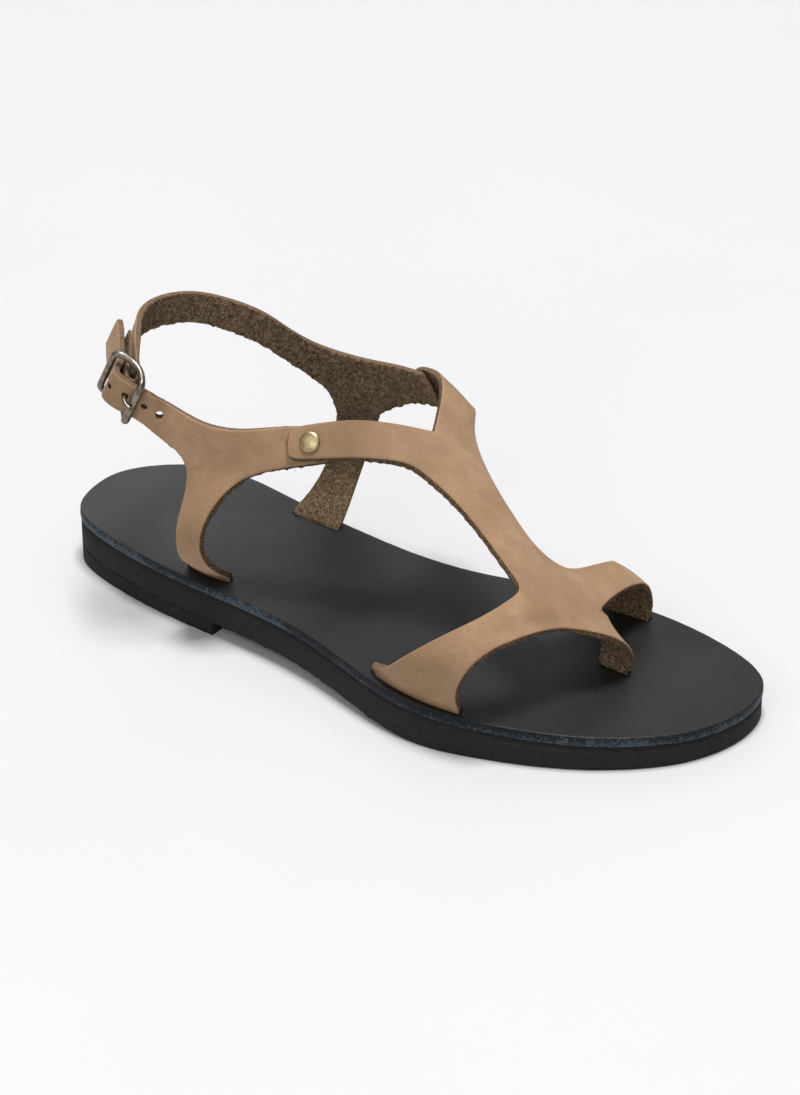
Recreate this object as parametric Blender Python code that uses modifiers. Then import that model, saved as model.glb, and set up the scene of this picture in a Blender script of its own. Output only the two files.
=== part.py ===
"""Ankle strap sandal for the right foot: black sole, tan leather straps, brass rivets and a nickel buckle.

Tables and sizes are in millimetres. X runs from the heel (0) to the toe, Y from the outer side (minus) to the
inner side (plus), Z up from the floor. At the end the whole sandal is carried to the middle of its own footprint.
"""
import bmesh
import bpy
import numpy as np
from mathutils import Matrix, Vector

MM = 0.001
GAP = 0.3
WELD = 0.00001
SHARP_ANGLE = 40.0

# Sole
LENGTH = 246.0
INSOLE_THICK = 3.5
INSOLE_BEVEL = 0.6
OUTSOLE_INSET = 0.2
HEEL_INSET = 0.2
HEEL_BREAST_X = 72.0
SOLE_SECTIONS = 40
SOLE_CELLS = 4
HEEL_SECTIONS = 16
FLOOR_ROUND = 0.4

# Leather
LEATHER = 2.2
SKIVED = 0.55
SLOT_CLEAR = 0.5
SLOT_LEAD = 1.2
SLOT_LEVELS = (SLOT_LEAD, -SLOT_LEAD, GAP - INSOLE_THICK)
SUBDIVISIONS = 1
VAMP_COLUMNS = 5
ARM_COLUMNS = 3

# Rivets: places on the vamp's arms, caps outside and inside, and the shank that joins them
OUTER_RIVET = (102.4, -18.0, 76.0)
INNER_RIVET = (105.0, 46.2, 70.6)
CAP_RADIUS = 3.4
CAP_HEIGHT = 1.5
CAP_RIM = 0.4
CAP_SEAT = 0.6
BACK_SHARE = 0.85
BACK_HEIGHT = 0.7
SHANK_RADIUS = 1.1
FOLD_CAP_RADIUS = 1.9
FOLD_CAP_HEIGHT = 0.8
FOLD_CAP_SEAT = 0.4
FOLD_SHANK_RADIUS = 0.8
ROUND_SIDES = 20
DOME_RINGS = 5
REACH = 12.0

# Buckle, in its own directions: along the strap to its tip, across, and out from the ankle
BUCKLE_CENTRE = (44.2, -37.4, 86.1)
BUCKLE_HEADING = 164.0
BUCKLE_RISE = 27.0
BUCKLE_LEAN = 5.0
BUCKLE_LONG = 15.2
BUCKLE_WIDE = 18.0
BUCKLE_SHIFT = 1.0
BUCKLE_CORNER = 2.0
BUCKLE_BOW = 3.5
BAR_RADIUS = 1.15
CENTRE_BAR_RADIUS = 0.9
BAR_RESOLUTION = 2
CORNER_POINTS = 4
PRONG_RADIUS = 0.75
PRONG_CLEAR = 0.45
PRONG_ACROSS = 1.2
SLIT_LONG = 7.2
SLIT_MIDDLE = -0.4
SLIT_WIDE = 2.7
STRAP_WIDTH = 13.0

# Sole outline: a row for each section, with the outer and the inner edge
# Columns: x, outer, inner
SOLE = [
    (0.0, -0.5, -0.5),
    (3.0, -15.0, 11.2),
    (8.5, -21.4, 18.4),
    (17.0, -25.4, 25.4),
    (29.0, -28.6, 30.2),
    (43.0, -31.0, 30.6),
    (59.0, -32.5, 28.6),
    (76.0, -33.2, 26.4),
    (94.0, -34.0, 24.9),
    (112.0, -36.6, 24.4),
    (128.0, -40.5, 26.2),
    (142.0, -44.2, 30.2),
    (156.0, -46.4, 35.9),
    (170.0, -45.6, 41.3),
    (184.0, -41.8, 44.7),
    (198.0, -36.5, 46.0),
    (211.0, -30.0, 45.4),
    (222.0, -22.6, 43.5),
    (231.0, -14.6, 40.8),
    (238.5, -5.5, 36.8),
    (243.5, 4.8, 31.0),
    (246.0, 18.5, 18.5),
]

# Height of the footbed and of the outsole's underside: a row for each section
# Columns: x, z
FOOTBED = [
    (0.0, 19.8),
    (45.0, 19.2),
    (85.0, 18.6),
    (115.0, 18.0),
    (145.0, 16.4),
    (175.0, 14.3),
    (205.0, 12.8),
    (246.0, 11.4),
]
UNDERSIDE = [
    (0.0, 6.6),
    (45.0, 5.6),
    (75.0, 4.8),
    (95.0, 4.3),
    (115.0, 3.7),
    (135.0, 2.4),
    (152.0, 0.8),
    (166.0, 0.0),
    (234.0, 0.0),
    (246.0, 0.3),
]

# Strap sections: centre, width, direction across (heading from +X to +Y, rise from level), crown of the middle
# Columns: x, y, z, width, heading, rise, crown

# Vamp, grain side. T-bar, toe cross and toe post run towards the toes, across from the outer to the inner edge
T_BAR = [
    (131.0, 15.2, 68.0, 39.0, 97.0, -11.0, 4.5),
    (146.0, 7.9, 62.6, 23.3, 88.0, -13.0, 2.0),
    (159.0, 3.1, 57.3, 20.2, 84.0, -17.0, 1.2),
    (171.0, -2.4, 52.8, 20.2, 86.0, -19.0, 1.2),
]
TOE_CROSS = [
    (182.2, -2.3, 45.4, 32.4, 98.0, -19.0, 2.0),
    (187.0, -2.5, 43.0, 44.0, 97.0, -14.0, 2.5),
    (191.5, -2.5, 40.0, 36.0, 94.0, -12.0, 2.0),
    (196.0, -2.6, 36.6, 18.8, 90.0, -11.0, 1.2),
]
TOE_POST = [
    (200.4, 6.7, 31.2, 18.0, 120.0, -14.0, 0.6),
    (201.5, 11.6, 25.0, 15.0, 150.0, -8.0, 0.3),
    (201.5, 12.5, 18.5, 11.0, 180.0, 3.0, 0.0),
]
# Arms of the instep Y, from the T-bar to their riveted ends
OUTER_ARM = [
    (125.1, -3.4, 77.4, 15.2, 124.0, 21.0, 1.0),
    (114.8, -11.9, 79.0, 12.8, 122.0, 45.0, 0.6),
    (101.0, -18.6, 75.9, 11.2, 116.0, 57.0, 0.3),
    (95.5, -21.1, 74.6, 9.6, 116.0, 60.0, 0.2),
]
INNER_ARM = [
    (123.9, 34.2, 71.5, 21.5, 84.0, -22.0, 2.5),
    (115.0, 45.5, 70.9, 15.5, 60.0, -58.0, 2.0),
    (104.5, 46.6, 69.6, 12.6, 50.0, -80.0, 0.4),
    (98.5, 46.4, 69.2, 10.5, 50.0, -82.0, 0.2),
]
# Corner between the two arms of the Y
CROTCH = (128.2, 14.0, 74.0)
TOE_CORNER = 0.35
# Arms of the toe cross, from the cross down to the footbed, across from the rear to the front edge
OUTER_TOE_ARM = [
    (186.5, -29.0, 44.5, 14.0, 18.0, -20.0, 0.6),
    (179.2, -40.0, 41.5, 16.5, 9.0, 0.0, 0.8),
    (170.0, -45.7, 32.5, 21.6, 3.0, 4.0, 1.0),
    (162.8, -45.0, 21.5, 26.8, 1.0, 1.0, 1.2),
]
INNER_TOE_ARM = [
    (187.4, 24.0, 35.1, 13.2, -8.0, -19.0, 0.6),
    (190.0, 36.2, 33.1, 10.8, 2.0, -26.0, 1.0),
    (185.8, 41.5, 26.4, 18.0, 4.0, -12.0, 0.8),
    (180.5, 41.8, 19.0, 28.0, 8.0, -4.0, 0.6),
]

# Outer quarter, grain side: band from its front end to the buckle, across from the lower to the upper edge
OUTER_BAND = [
    (106.0, -12.6, 73.6, 10.6, 116.0, 55.0, 0.3),
    (100.2, -15.4, 73.0, 12.2, 116.0, 57.0, 0.3),
    (91.5, -21.0, 71.7, 13.8, 110.0, 65.0, 0.3),
    (82.0, -27.5, 69.0, 15.6, 100.0, 80.0, 0.3),
    (72.5, -31.0, 69.0, 15.8, 90.0, 84.0, 0.3),
    (65.3, -33.0, 72.0, 13.6, 90.0, 82.0, 0.3),
    (57.0, -36.2, 77.6, 12.6, 70.0, 74.0, 0.2),
]
OUTER_LEG_ROWS = (3, 4, 5)
OUTER_LEG = [
    (71.6, -36.0, 54.5, 12.0, 180.0, 0.0, 0.3),
    (70.1, -41.0, 46.0, 9.8, 180.0, 0.0, 0.3),
    (69.2, -41.6, 37.0, 9.4, 180.0, 0.0, 0.3),
    (68.8, -37.5, 28.5, 12.0, 180.0, 0.0, 0.6),
    (67.6, -30.5, 22.5, 15.8, 180.0, 0.0, 1.4),
]
# Its strap through the buckle, in the buckle's directions, to the tip that stands free behind it
# Columns: along, out, width
BUCKLE_RUN = [
    (-11.4, -1.2, STRAP_WIDTH),
    (-7.6, 1.3, 12.4),
    (-3.6, 4.4, STRAP_WIDTH),
    (0.4, 6.3, STRAP_WIDTH),
    (3.8, 6.5, STRAP_WIDTH),
    (5.9, 3.5, 12.2),
    (7.7, 0.4, 12.0),
    (11.6, -1.5, STRAP_WIDTH),
    (15.6, -4.0, 13.4),
    (19.2, -6.2, 13.2),
    (22.0, -7.7, 12.0),
]
# Holes in that strap, in the same directions. Columns: along, out, across, radius
STRAP_HOLES = [
    (-17.7, 0.0, 1.6, 1.3),
    (-9.3, 0.0, 1.0, 1.1),
    (2.0, 9.0, 0.4, 1.0),
]

# Inner quarter, flesh side: band from its front end round the heel, across from the lower to the upper edge
INNER_BAND = [
    (107.7, 39.2, 71.0, 12.0, 186.0, 52.0, 0.0),
    (100.0, 40.2, 69.9, 11.2, 210.0, 78.0, 0.0),
    (92.0, 41.3, 66.7, 15.5, 250.0, 84.0, 0.0),
    (84.0, 41.0, 63.4, 20.2, 260.0, 84.0, 0.0),
    (74.5, 39.5, 64.0, 19.5, 265.0, 82.0, 0.0),
    (66.5, 36.0, 68.5, 15.0, 260.0, 80.0, 0.0),
    (60.0, 28.5, 76.8, 12.4, 250.0, 84.0, 0.0),
    (54.0, 22.5, 84.3, 12.0, 240.0, 88.0, 0.0),
    (44.0, 16.5, 89.2, 10.6, 0.0, 89.0, 0.0),
    (33.5, 10.0, 92.3, 10.3, 0.0, 88.0, 0.0),
    (26.5, 0.0, 92.3, 10.3, 0.0, 84.0, 0.0),
    (26.8, -9.0, 91.3, 10.8, 10.0, 76.0, 0.0),
]
INNER_LEG_ROWS = (3, 4, 5)
INNER_LEG = [
    (76.0, 44.0, 49.5, 15.6, 180.0, 0.0, 0.2),
    (73.8, 43.0, 38.0, 11.7, 180.0, 0.0, 0.2),
    (73.5, 36.5, 29.0, 12.5, 180.0, 0.0, 0.2),
    (75.0, 28.0, 24.0, 15.0, 180.0, 0.0, 0.2),
]
# Its end folded outwards round the centre bar: distance back from the bar, flesh side off the fold's middle, width
FOLD_SWING = 34.0
# Columns: back, off, width
FOLD_RUN = [
    (22.0, -2.6, 11.5),
    (15.0, -2.6, 12.0),
    (8.0, -1.7, STRAP_WIDTH),
    (4.0, -2.2, STRAP_WIDTH),
    (0.8, -3.2, STRAP_WIDTH),
    (-3.2, -2.4, STRAP_WIDTH),
    (-3.2, 2.4, STRAP_WIDTH),
    (0.8, 3.2, STRAP_WIDTH),
    (4.0, 2.2, STRAP_WIDTH),
    (8.0, 1.7, STRAP_WIDTH),
    (12.0, 1.6, 12.4),
    (16.0, 1.6, 12.0),
    (19.5, 1.6, 11.0),
]
FULL_FOLD_ROWS = 2
FOLD_RIVET_BACK = 16.5

# Prong, in the buckle's directions: from its ring on the centre bar up through the strap and over the front bar
# Columns: along, out
PRONG_RUN = [
    (-1.4, 2.15),
    (-2.6, 2.9),
    (-3.8, 4.2),
    (-5.0, 5.3),
    (-6.8, 5.8),
    (-8.6, 5.5),
]
RING_FROM = -170.0
RING_TO = 90.0
RING_POINTS = 11

# Slots in the insole, a row for each strap end: middle of the strap's face, width, heading of its width, crown
# Columns: x, y, width, heading, crown
OUTER_TOE_SLOT = (160.8, -41.8, 32.0, 0.0, 2.2)
INNER_TOE_SLOT = (178.5, 38.5, 32.5, 12.0, 0.8)
TOE_POST_SLOT = (201.0, 11.6, 10.0, 180.0, 0.0)
OUTER_LEG_SLOT = (66.4, -26.6, 17.4, 180.0, 2.0)
INNER_LEG_SLOT = (75.0, 20.4, 18.5, 180.0, 0.0)

# Colour, roughness and metallic value of each kind of material
KINDS = {
    "nubuck": ((0.38, 0.23, 0.14), 0.85, 0.0),
    "insole leather": ((0.035, 0.035, 0.04), 0.5, 0.0),
    "sole rubber": ((0.012, 0.012, 0.012), 0.75, 0.0),
    "brass": ((0.78, 0.62, 0.33), 0.3, 1.0),
    "antique nickel": ((0.33, 0.31, 0.28), 0.35, 1.0),
}


def cubic(table, x):
    """Smooth height at x through the rows of a two-column table."""
    knots = np.array([row[0] for row in table])
    values = np.array([row[1] for row in table])
    slopes = np.gradient(values, knots)
    i = int(np.clip(np.searchsorted(knots, x) - 1, 0, len(knots) - 2))
    span = knots[i + 1] - knots[i]
    t = (x - knots[i]) / span
    rise = (2 * t ** 3 - 3 * t ** 2 + 1) * values[i] + (3 * t ** 2 - 2 * t ** 3) * values[i + 1]
    lean = (t ** 3 - 2 * t ** 2 + t) * slopes[i] + (t ** 3 - t ** 2) * slopes[i + 1]
    return rise + lean * span


def footbed(x):
    return cubic(FOOTBED, x)


def underside(x):
    return max(cubic(UNDERSIDE, x), 0.0)


def closed_spline(knots, values, period):
    """Periodic cubic spline, returned as a function of the angle."""
    n = len(knots)
    step = np.append(np.diff(knots), knots[0] + period - knots[-1])
    rise = np.append(np.diff(values), values[0] - values[-1]) / step
    system = np.zeros((n, n))
    for i in range(n):
        system[i, i - 1] = step[i - 1]
        system[i, i] = 2 * (step[i - 1] + step[i])
        system[i, (i + 1) % n] = step[i]
    bend = np.linalg.solve(system, 6 * (rise - np.roll(rise, 1)))

    def value(angle):
        angle = (angle - knots[0]) % period + knots[0]
        i = int(np.searchsorted(knots, angle, side="right")) - 1
        j = (i + 1) % n
        a = angle - knots[i]
        b = step[i] - a
        curve = (bend[i] * b ** 3 + bend[j] * a ** 3) / (6 * step[i])
        left = (values[i] / step[i] - bend[i] * step[i] / 6) * b
        right = (values[j] / step[i] - bend[j] * step[i] / 6) * a
        return curve + left + right

    return value


def sole_edge():
    """Sole edge as a function of the angle: 0 at the heel, half a turn at the toe, the inner side first."""
    turn = [np.arccos(1 - 2 * row[0] / LENGTH) for row in SOLE]
    inner = [(angle, row[2]) for angle, row in zip(turn, SOLE)]
    outer = [(2 * np.pi - angle, row[1]) for angle, row in zip(turn, SOLE)]
    rows = inner + outer[-2:0:-1]
    return closed_spline(np.array([r[0] for r in rows]), np.array([r[1] for r in rows]), 2 * np.pi)


EDGE_Y = sole_edge()


def edge_point(angle, inset):
    """Point of the sole outline in plan, moved inwards by the inset."""
    small = 0.01

    def at(a):
        return np.array([LENGTH / 2 * (1 - np.cos(a)), EDGE_Y(a)])

    along = at(angle + small) - at(angle - small)
    along /= np.linalg.norm(along)
    return at(angle) + inset * np.array([along[1], -along[0]])


def new_object(name, mesh, collection):
    thing = bpy.data.objects.new(name, mesh)
    collection.objects.link(thing)
    return thing


def slab(name, rings, collection, sections=SOLE_SECTIONS, last=np.pi):
    """Closed layer of the sole. Each ring is (inset, height function), from the top face to the bottom face.

    The layer runs from the heel to the angle last: half a turn is the toe, less leaves an upright front face.
    """
    bm = bmesh.new()
    angles = np.linspace(0.0, last, sections + 1)
    pointed = last == np.pi

    def ring_rows(inset, height, filled):
        rows = []
        for i, angle in enumerate(angles):
            inner = edge_point(angle, inset)
            outer = edge_point(2 * np.pi - angle, inset)
            upright = i == sections and not pointed
            if i == 0 or (i == sections and pointed):
                shares = [0.0]
            elif filled or upright:
                shares = np.linspace(0, 1, SOLE_CELLS + 1)
            else:
                shares = [0.0, 1.0]
            places = [outer + (inner - outer) * s for s in shares]
            rows.append([bm.verts.new((x * MM, y * MM, height(x) * MM)) for x, y in places])
        return rows

    def lid(rows, upward):
        for a, b in zip(rows[:-1], rows[1:]):
            for j in range(max(len(a), len(b)) - 1):
                corners = [a[min(j, len(a) - 1)], b[min(j, len(b) - 1)]]
                corners += [b[min(j + 1, len(b) - 1)], a[min(j + 1, len(a) - 1)]]
                corners = list(dict.fromkeys(corners))
                bm.faces.new(corners if upward else corners[::-1])

    def rim(rows):
        """Edge vertices in order: along the outer side, across the front, back along the inner side."""
        return [row[0] for row in rows[:-1]] + rows[-1] + [row[-1] for row in rows[-2:0:-1]]

    grids = [ring_rows(inset, height, k in (0, len(rings) - 1)) for k, (inset, height) in enumerate(rings)]
    lid(grids[0], True)
    lid(grids[-1], False)
    for upper, lower in zip(grids[:-1], grids[1:]):
        a, b = rim(upper), rim(lower)
        for i in range(len(a)):
            j = (i + 1) % len(a)
            bm.faces.new([a[i], b[i], b[j], a[j]])
    bmesh.ops.recalc_face_normals(bm, faces=bm.faces)
    mesh = bpy.data.meshes.new(name)
    bm.to_mesh(mesh)
    bm.free()
    mesh.shade_smooth()
    mesh.set_sharp_from_angle(angle=np.radians(SHARP_ANGLE))
    return new_object(name, mesh, collection)


def across_of(row):
    heading, rise = np.radians(row[4]), np.radians(row[5])
    return np.array([np.cos(rise) * np.cos(heading), np.cos(rise) * np.sin(heading), np.sin(rise)])


def strap_points(table, columns, side, before=None):
    """Cage points of a strap, a list across for each section.

    Side is 1 where the direction along the strap crossed into across points to the grain side, and -1 where it
    points to the flesh side, so that a positive crown always lifts the middle to the grain side.
    """
    centres = [np.array(row[:3]) for row in table]
    path = [centres[0] if before is None else np.array(before)] + centres
    shares = np.linspace(-0.5, 0.5, columns)
    points = []
    for i, row in enumerate(table):
        along = path[min(i + 2, len(path) - 1)] - path[i]
        across = across_of(row)
        normal = side * np.cross(along, across)
        normal /= np.linalg.norm(normal)
        points.append([centres[i] + s * row[3] * across + (1 - 4 * s * s) * row[6] * normal for s in shares])
    return points


def slot_rows(slot, levels=SLOT_LEVELS):
    """Upright strap sections through a slot in the insole, at levels from the footbed."""
    x, y, width, heading, crown = slot
    slope = (footbed(x + 1) - footbed(x - 1)) / 2
    rise = np.degrees(np.arctan(slope * np.cos(np.radians(heading))))
    return [(x, y, footbed(x) + level, width, heading, rise, crown) for level in levels]


class Cage:
    """Open sheet of quads, made strip by strip from strap sections."""

    def __init__(self):
        self.bm = bmesh.new()
        self.crease = self.bm.verts.layers.float.new("crease_vert")

    def rows(self, points):
        return [[self.bm.verts.new(Vector(p) * MM) for p in row] for row in points]

    def strip(self, rows, side):
        """Join rows of vertices with quads that face the grain side."""
        for a, b in zip(rows[:-1], rows[1:]):
            for j in range(len(a) - 1):
                corners = [a[j], b[j], b[j + 1], a[j + 1]]
                self.bm.faces.new(corners if side > 0 else corners[::-1])

    def sharpen(self, vertex, share):
        """Keep a vertex as a corner: 1.0 is sharp and less is rounder."""
        vertex[self.crease] = share

    def sheet(self, name, collection, flesh_depth, grain_depth, corners):
        """Smooth the cage and thicken it by a depth to its flesh side and a depth to its grain side."""
        mesh = bpy.data.meshes.new(name)
        self.bm.to_mesh(mesh)
        self.bm.free()
        mesh.shade_smooth()
        sheet = new_object(name, mesh, collection)
        smooth = sheet.modifiers.new("smooth", "SUBSURF")
        smooth.levels = SUBDIVISIONS
        smooth.render_levels = SUBDIVISIONS
        smooth.boundary_smooth = corners
        thick = sheet.modifiers.new("thickness", "SOLIDIFY")
        thick.thickness = (flesh_depth + grain_depth) * MM
        thick.offset = (grain_depth - flesh_depth) / (grain_depth + flesh_depth)
        thick.use_even_offset = True
        return sheet


def buckle_directions():
    """Directions of the buckle: along the strap to its tip, across upwards, and out from the ankle."""
    heading, rise = np.radians(BUCKLE_HEADING), np.radians(BUCKLE_RISE)
    lean = np.radians(BUCKLE_LEAN)
    along = np.array([np.cos(rise) * np.cos(heading), np.cos(rise) * np.sin(heading), np.sin(rise)])
    up = np.array([0.0, np.sin(lean), np.cos(lean)])
    across = up - np.dot(up, along) * along
    across /= np.linalg.norm(across)
    return along, across, np.cross(across, along)


BUCKLE_ALONG, BUCKLE_ACROSS, BUCKLE_OUT = buckle_directions()
ACROSS_HEADING = np.degrees(np.arctan2(BUCKLE_ACROSS[1], BUCKLE_ACROSS[0]))
ACROSS_RISE = np.degrees(np.arcsin(BUCKLE_ACROSS[2]))
SWING = np.radians(FOLD_SWING)
FOLD_BACK = np.cos(SWING) * BUCKLE_ALONG - np.sin(SWING) * BUCKLE_OUT
FOLD_OFF = np.sin(SWING) * BUCKLE_ALONG + np.cos(SWING) * BUCKLE_OUT


def at_buckle(along, out, across=0.0):
    return np.array(BUCKLE_CENTRE) + along * BUCKLE_ALONG + out * BUCKLE_OUT + across * BUCKLE_ACROSS


def at_fold(back, off):
    return np.array(BUCKLE_CENTRE) + back * FOLD_BACK + off * FOLD_OFF


def level_rows(run, place):
    """Strap sections across the buckle, from a run of two distances and a width."""
    return [(*place(a, b), width, ACROSS_HEADING, ACROSS_RISE, 0.0) for a, b, width in run]


def vamp(collection):
    """One cut piece: T-bar, the Y at the instep and the cross at the toes."""
    cage = Cage()
    bar = cage.rows(strap_points(T_BAR + TOE_CROSS, VAMP_COLUMNS, 1))
    cage.strip(bar, 1)
    cross = bar[len(T_BAR):]
    middle = TOE_CROSS[1][:3]
    post = cage.rows(strap_points(TOE_POST + slot_rows(TOE_POST_SLOT), VAMP_COLUMNS, 1, TOE_CROSS[-1][:3]))
    cage.strip([cross[-1]] + post, 1)
    arm = cage.rows(strap_points(OUTER_TOE_ARM + slot_rows(OUTER_TOE_SLOT), len(cross), 1, middle))
    cage.strip([[row[0] for row in cross]] + arm, 1)
    arm = cage.rows(strap_points(INNER_TOE_ARM + slot_rows(INNER_TOE_SLOT), len(cross), -1, middle))
    cage.strip([[row[-1] for row in cross]] + arm, -1)
    arm = cage.rows(strap_points(OUTER_ARM, ARM_COLUMNS, -1, T_BAR[0][:3]))
    cage.strip([bar[0][:ARM_COLUMNS]] + arm, -1)
    arm = cage.rows(strap_points(INNER_ARM, ARM_COLUMNS, -1, T_BAR[0][:3]))
    cage.strip([bar[0][-ARM_COLUMNS:]] + arm, -1)
    bar[0][VAMP_COLUMNS // 2].co = Vector(CROTCH) * MM
    cage.sharpen(bar[0][VAMP_COLUMNS // 2], 1.0)
    cage.sharpen(cross[0][0], TOE_CORNER)
    return cage.sheet("vamp", collection, LEATHER, 0.0, "ALL")


def outer_quarter(collection):
    """One cut piece: front arm, leg to the sole, and the strap through the buckle."""
    cage = Cage()
    band = cage.rows(strap_points(OUTER_BAND + level_rows(BUCKLE_RUN, at_buckle), ARM_COLUMNS, -1))
    cage.strip(band, -1)
    root = [band[i][0] for i in OUTER_LEG_ROWS]
    before = OUTER_BAND[OUTER_LEG_ROWS[1]][:3]
    leg = cage.rows(strap_points(OUTER_LEG + slot_rows(OUTER_LEG_SLOT), ARM_COLUMNS, -1, before))
    cage.strip([root] + leg, -1)
    return cage.sheet("outer_quarter", collection, LEATHER, 0.0, "PRESERVE_CORNERS")


def inner_quarter(collection):
    """One cut piece: front arm, leg to the sole, and the strap round the heel, thinned at the fold."""
    cage = Cage()
    band = cage.rows(strap_points(INNER_BAND + level_rows(FOLD_RUN, at_fold), ARM_COLUMNS, 1))
    cage.strip(band, 1)
    root = [band[i][0] for i in INNER_LEG_ROWS]
    before = INNER_BAND[INNER_LEG_ROWS[1]][:3]
    leg = cage.rows(strap_points(INNER_LEG + slot_rows(INNER_LEG_SLOT), ARM_COLUMNS, 1, before))
    cage.strip([root] + leg, 1)
    quarter = cage.sheet("inner_quarter", collection, 0.0, LEATHER, "PRESERVE_CORNERS")
    first = ARM_COLUMNS * (len(INNER_BAND) + FULL_FOLD_ROWS)
    last = ARM_COLUMNS * (len(INNER_BAND) + len(FOLD_RUN))
    full = quarter.vertex_groups.new(name="full thickness")
    full.add([v.index for v in quarter.data.vertices if not first <= v.index < last], 1.0, "REPLACE")
    quarter.modifiers["thickness"].vertex_group = full.name
    quarter.modifiers["thickness"].thickness_vertex_group = SKIVED
    return quarter


def slot_cutter(name, free, slot, columns, side, flesh_depth, grain_depth, collection):
    """Cutter for a slot: the strap's own lower end, made wider and thicker, down through the insole."""
    levels = (SLOT_LEAD, -SLOT_LEAD, GAP - INSOLE_THICK, -2 * INSOLE_THICK)
    rows = free[-2:] + slot_rows(slot, levels)
    rows = [(x, y, z, width + 2 * SLOT_CLEAR, *rest) for x, y, z, width, *rest in rows]
    cage = Cage()
    cage.strip(cage.rows(strap_points(rows, columns, side, free[-3][:3])), side)
    return cage.sheet(name, collection, flesh_depth + SLOT_CLEAR, grain_depth + SLOT_CLEAR, "PRESERVE_CORNERS")


def cut(thing, cutter):
    bite = thing.modifiers.new("cut " + cutter.name, "BOOLEAN")
    bite.operation = "DIFFERENCE"
    bite.solver = "EXACT"
    bite.object = cutter


def frame_at(place, direction):
    """Placing matrix with its Z along the direction, from a place in millimetres."""
    turn = Vector(direction).to_track_quat("Z", "Y").to_matrix().to_4x4()
    return Matrix.Translation(Vector(place) * MM) @ turn


def pin(name, place, direction, radius, length, collection):
    """Round pin centred on a place."""
    bm = bmesh.new()
    bmesh.ops.create_cone(bm, cap_ends=True, segments=ROUND_SIDES, radius1=radius * MM, radius2=radius * MM,
                          depth=length * MM, matrix=frame_at(place, direction))
    mesh = bpy.data.meshes.new(name)
    bm.to_mesh(mesh)
    bm.free()
    return new_object(name, mesh, collection)


def block(name, place, size, axes, collection):
    """Box centred on a place, with its sides along three directions."""
    bm = bmesh.new()
    turn = Matrix([list(axis) for axis in axes]).transposed().to_4x4()
    stretch = Matrix.Diagonal((*(side * MM for side in size), 1.0))
    bmesh.ops.create_cube(bm, size=1.0, matrix=Matrix.Translation(Vector(place) * MM) @ turn @ stretch)
    bmesh.ops.recalc_face_normals(bm, faces=bm.faces)
    mesh = bpy.data.meshes.new(name)
    bm.to_mesh(mesh)
    bm.free()
    return new_object(name, mesh, collection)


def turned(name, profile, place, direction, collection):
    """Body turned round the direction, from a profile of radius and height listed top to bottom."""
    mesh = bpy.data.meshes.new(name)
    points = [(radius * MM, 0.0, height * MM) for radius, height in profile]
    mesh.from_pydata(points, [(i, i + 1) for i in range(len(points) - 1)], [])
    body = new_object(name, mesh, collection)
    body.matrix_world = frame_at(place, direction)
    spin = body.modifiers.new("turn", "SCREW")
    spin.steps = ROUND_SIDES
    spin.render_steps = ROUND_SIDES
    spin.use_merge_vertices = True
    spin.merge_threshold = WELD
    return body


def rivet(name, outside, inside, cap, shank_radius, collection):
    """Rivet between two places: domed cap on the outside, flat cap on the inside.

    Cap gives the radius, the height and the seat, which is the cap's distance from the leather.
    """
    radius, height, seat = cap
    length = float(np.linalg.norm(outside - inside))
    dome = [(radius * np.sin(a), seat + CAP_RIM + (height - CAP_RIM) * np.cos(a))
            for a in np.linspace(0, np.pi / 2, DOME_RINGS)]
    back = -length - seat
    profile = dome + [
        (radius, seat),
        (shank_radius, seat),
        (shank_radius, back),
        (radius * BACK_SHARE, back),
        (radius * BACK_SHARE, back - BACK_HEIGHT),
        (0.0, back - BACK_HEIGHT),
    ]
    return turned(name, profile, outside, outside - inside, collection)


def tube(name, points, radius, closed, collection):
    """Round bar along a line of points, as a mesh with filled ends."""
    curve = bpy.data.curves.new(name, "CURVE")
    curve.dimensions = "3D"
    curve.bevel_depth = radius * MM
    curve.bevel_resolution = BAR_RESOLUTION
    curve.use_fill_caps = True
    line = curve.splines.new("POLY")
    line.points.add(len(points) - 1)
    for knot, p in zip(line.points, points):
        knot.co = (*(Vector(p) * MM), 1.0)
    line.use_cyclic_u = closed
    source = new_object(name + " line", curve, collection)
    mesh = bpy.data.meshes.new_from_object(source.evaluated_get(bpy.context.evaluated_depsgraph_get()))
    bpy.data.objects.remove(source)
    bm = bmesh.new()
    bm.from_mesh(mesh)
    bmesh.ops.remove_doubles(bm, verts=bm.verts, dist=WELD)
    bmesh.ops.recalc_face_normals(bm, faces=bm.faces)
    bm.to_mesh(mesh)
    bm.free()
    mesh.name = name
    return new_object(name, mesh, collection)


def frame_line():
    """Rounded rectangle of the buckle, bowed so that its end bars stand above the centre bar."""
    long, wide = BUCKLE_LONG / 2, BUCKLE_WIDE / 2
    plan = []
    for along, across, first in ((1, 1, 0), (-1, 1, 90), (-1, -1, 180), (1, -1, 270)):
        middle = (along * (long - BUCKLE_CORNER), across * (wide - BUCKLE_CORNER))
        for angle in np.radians(first + np.linspace(0, 90, CORNER_POINTS)):
            plan.append((middle[0] + BUCKLE_CORNER * np.cos(angle), middle[1] + BUCKLE_CORNER * np.sin(angle)))
        if along == across:
            plan += [(side * along * long / 4, across * wide) for side in (1, 0, -1)]
    return [at_buckle(along, BUCKLE_BOW * (along / long) ** 2, across + BUCKLE_SHIFT) for along, across in plan]


def prong_line():
    ring = CENTRE_BAR_RADIUS + GAP + PRONG_RADIUS
    turn = np.radians(np.linspace(RING_FROM, RING_TO, RING_POINTS))
    line = [(ring * np.cos(a), ring * np.sin(a)) for a in turn] + PRONG_RUN
    return [at_buckle(along, out, PRONG_ACROSS) for along, out in line]


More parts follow.
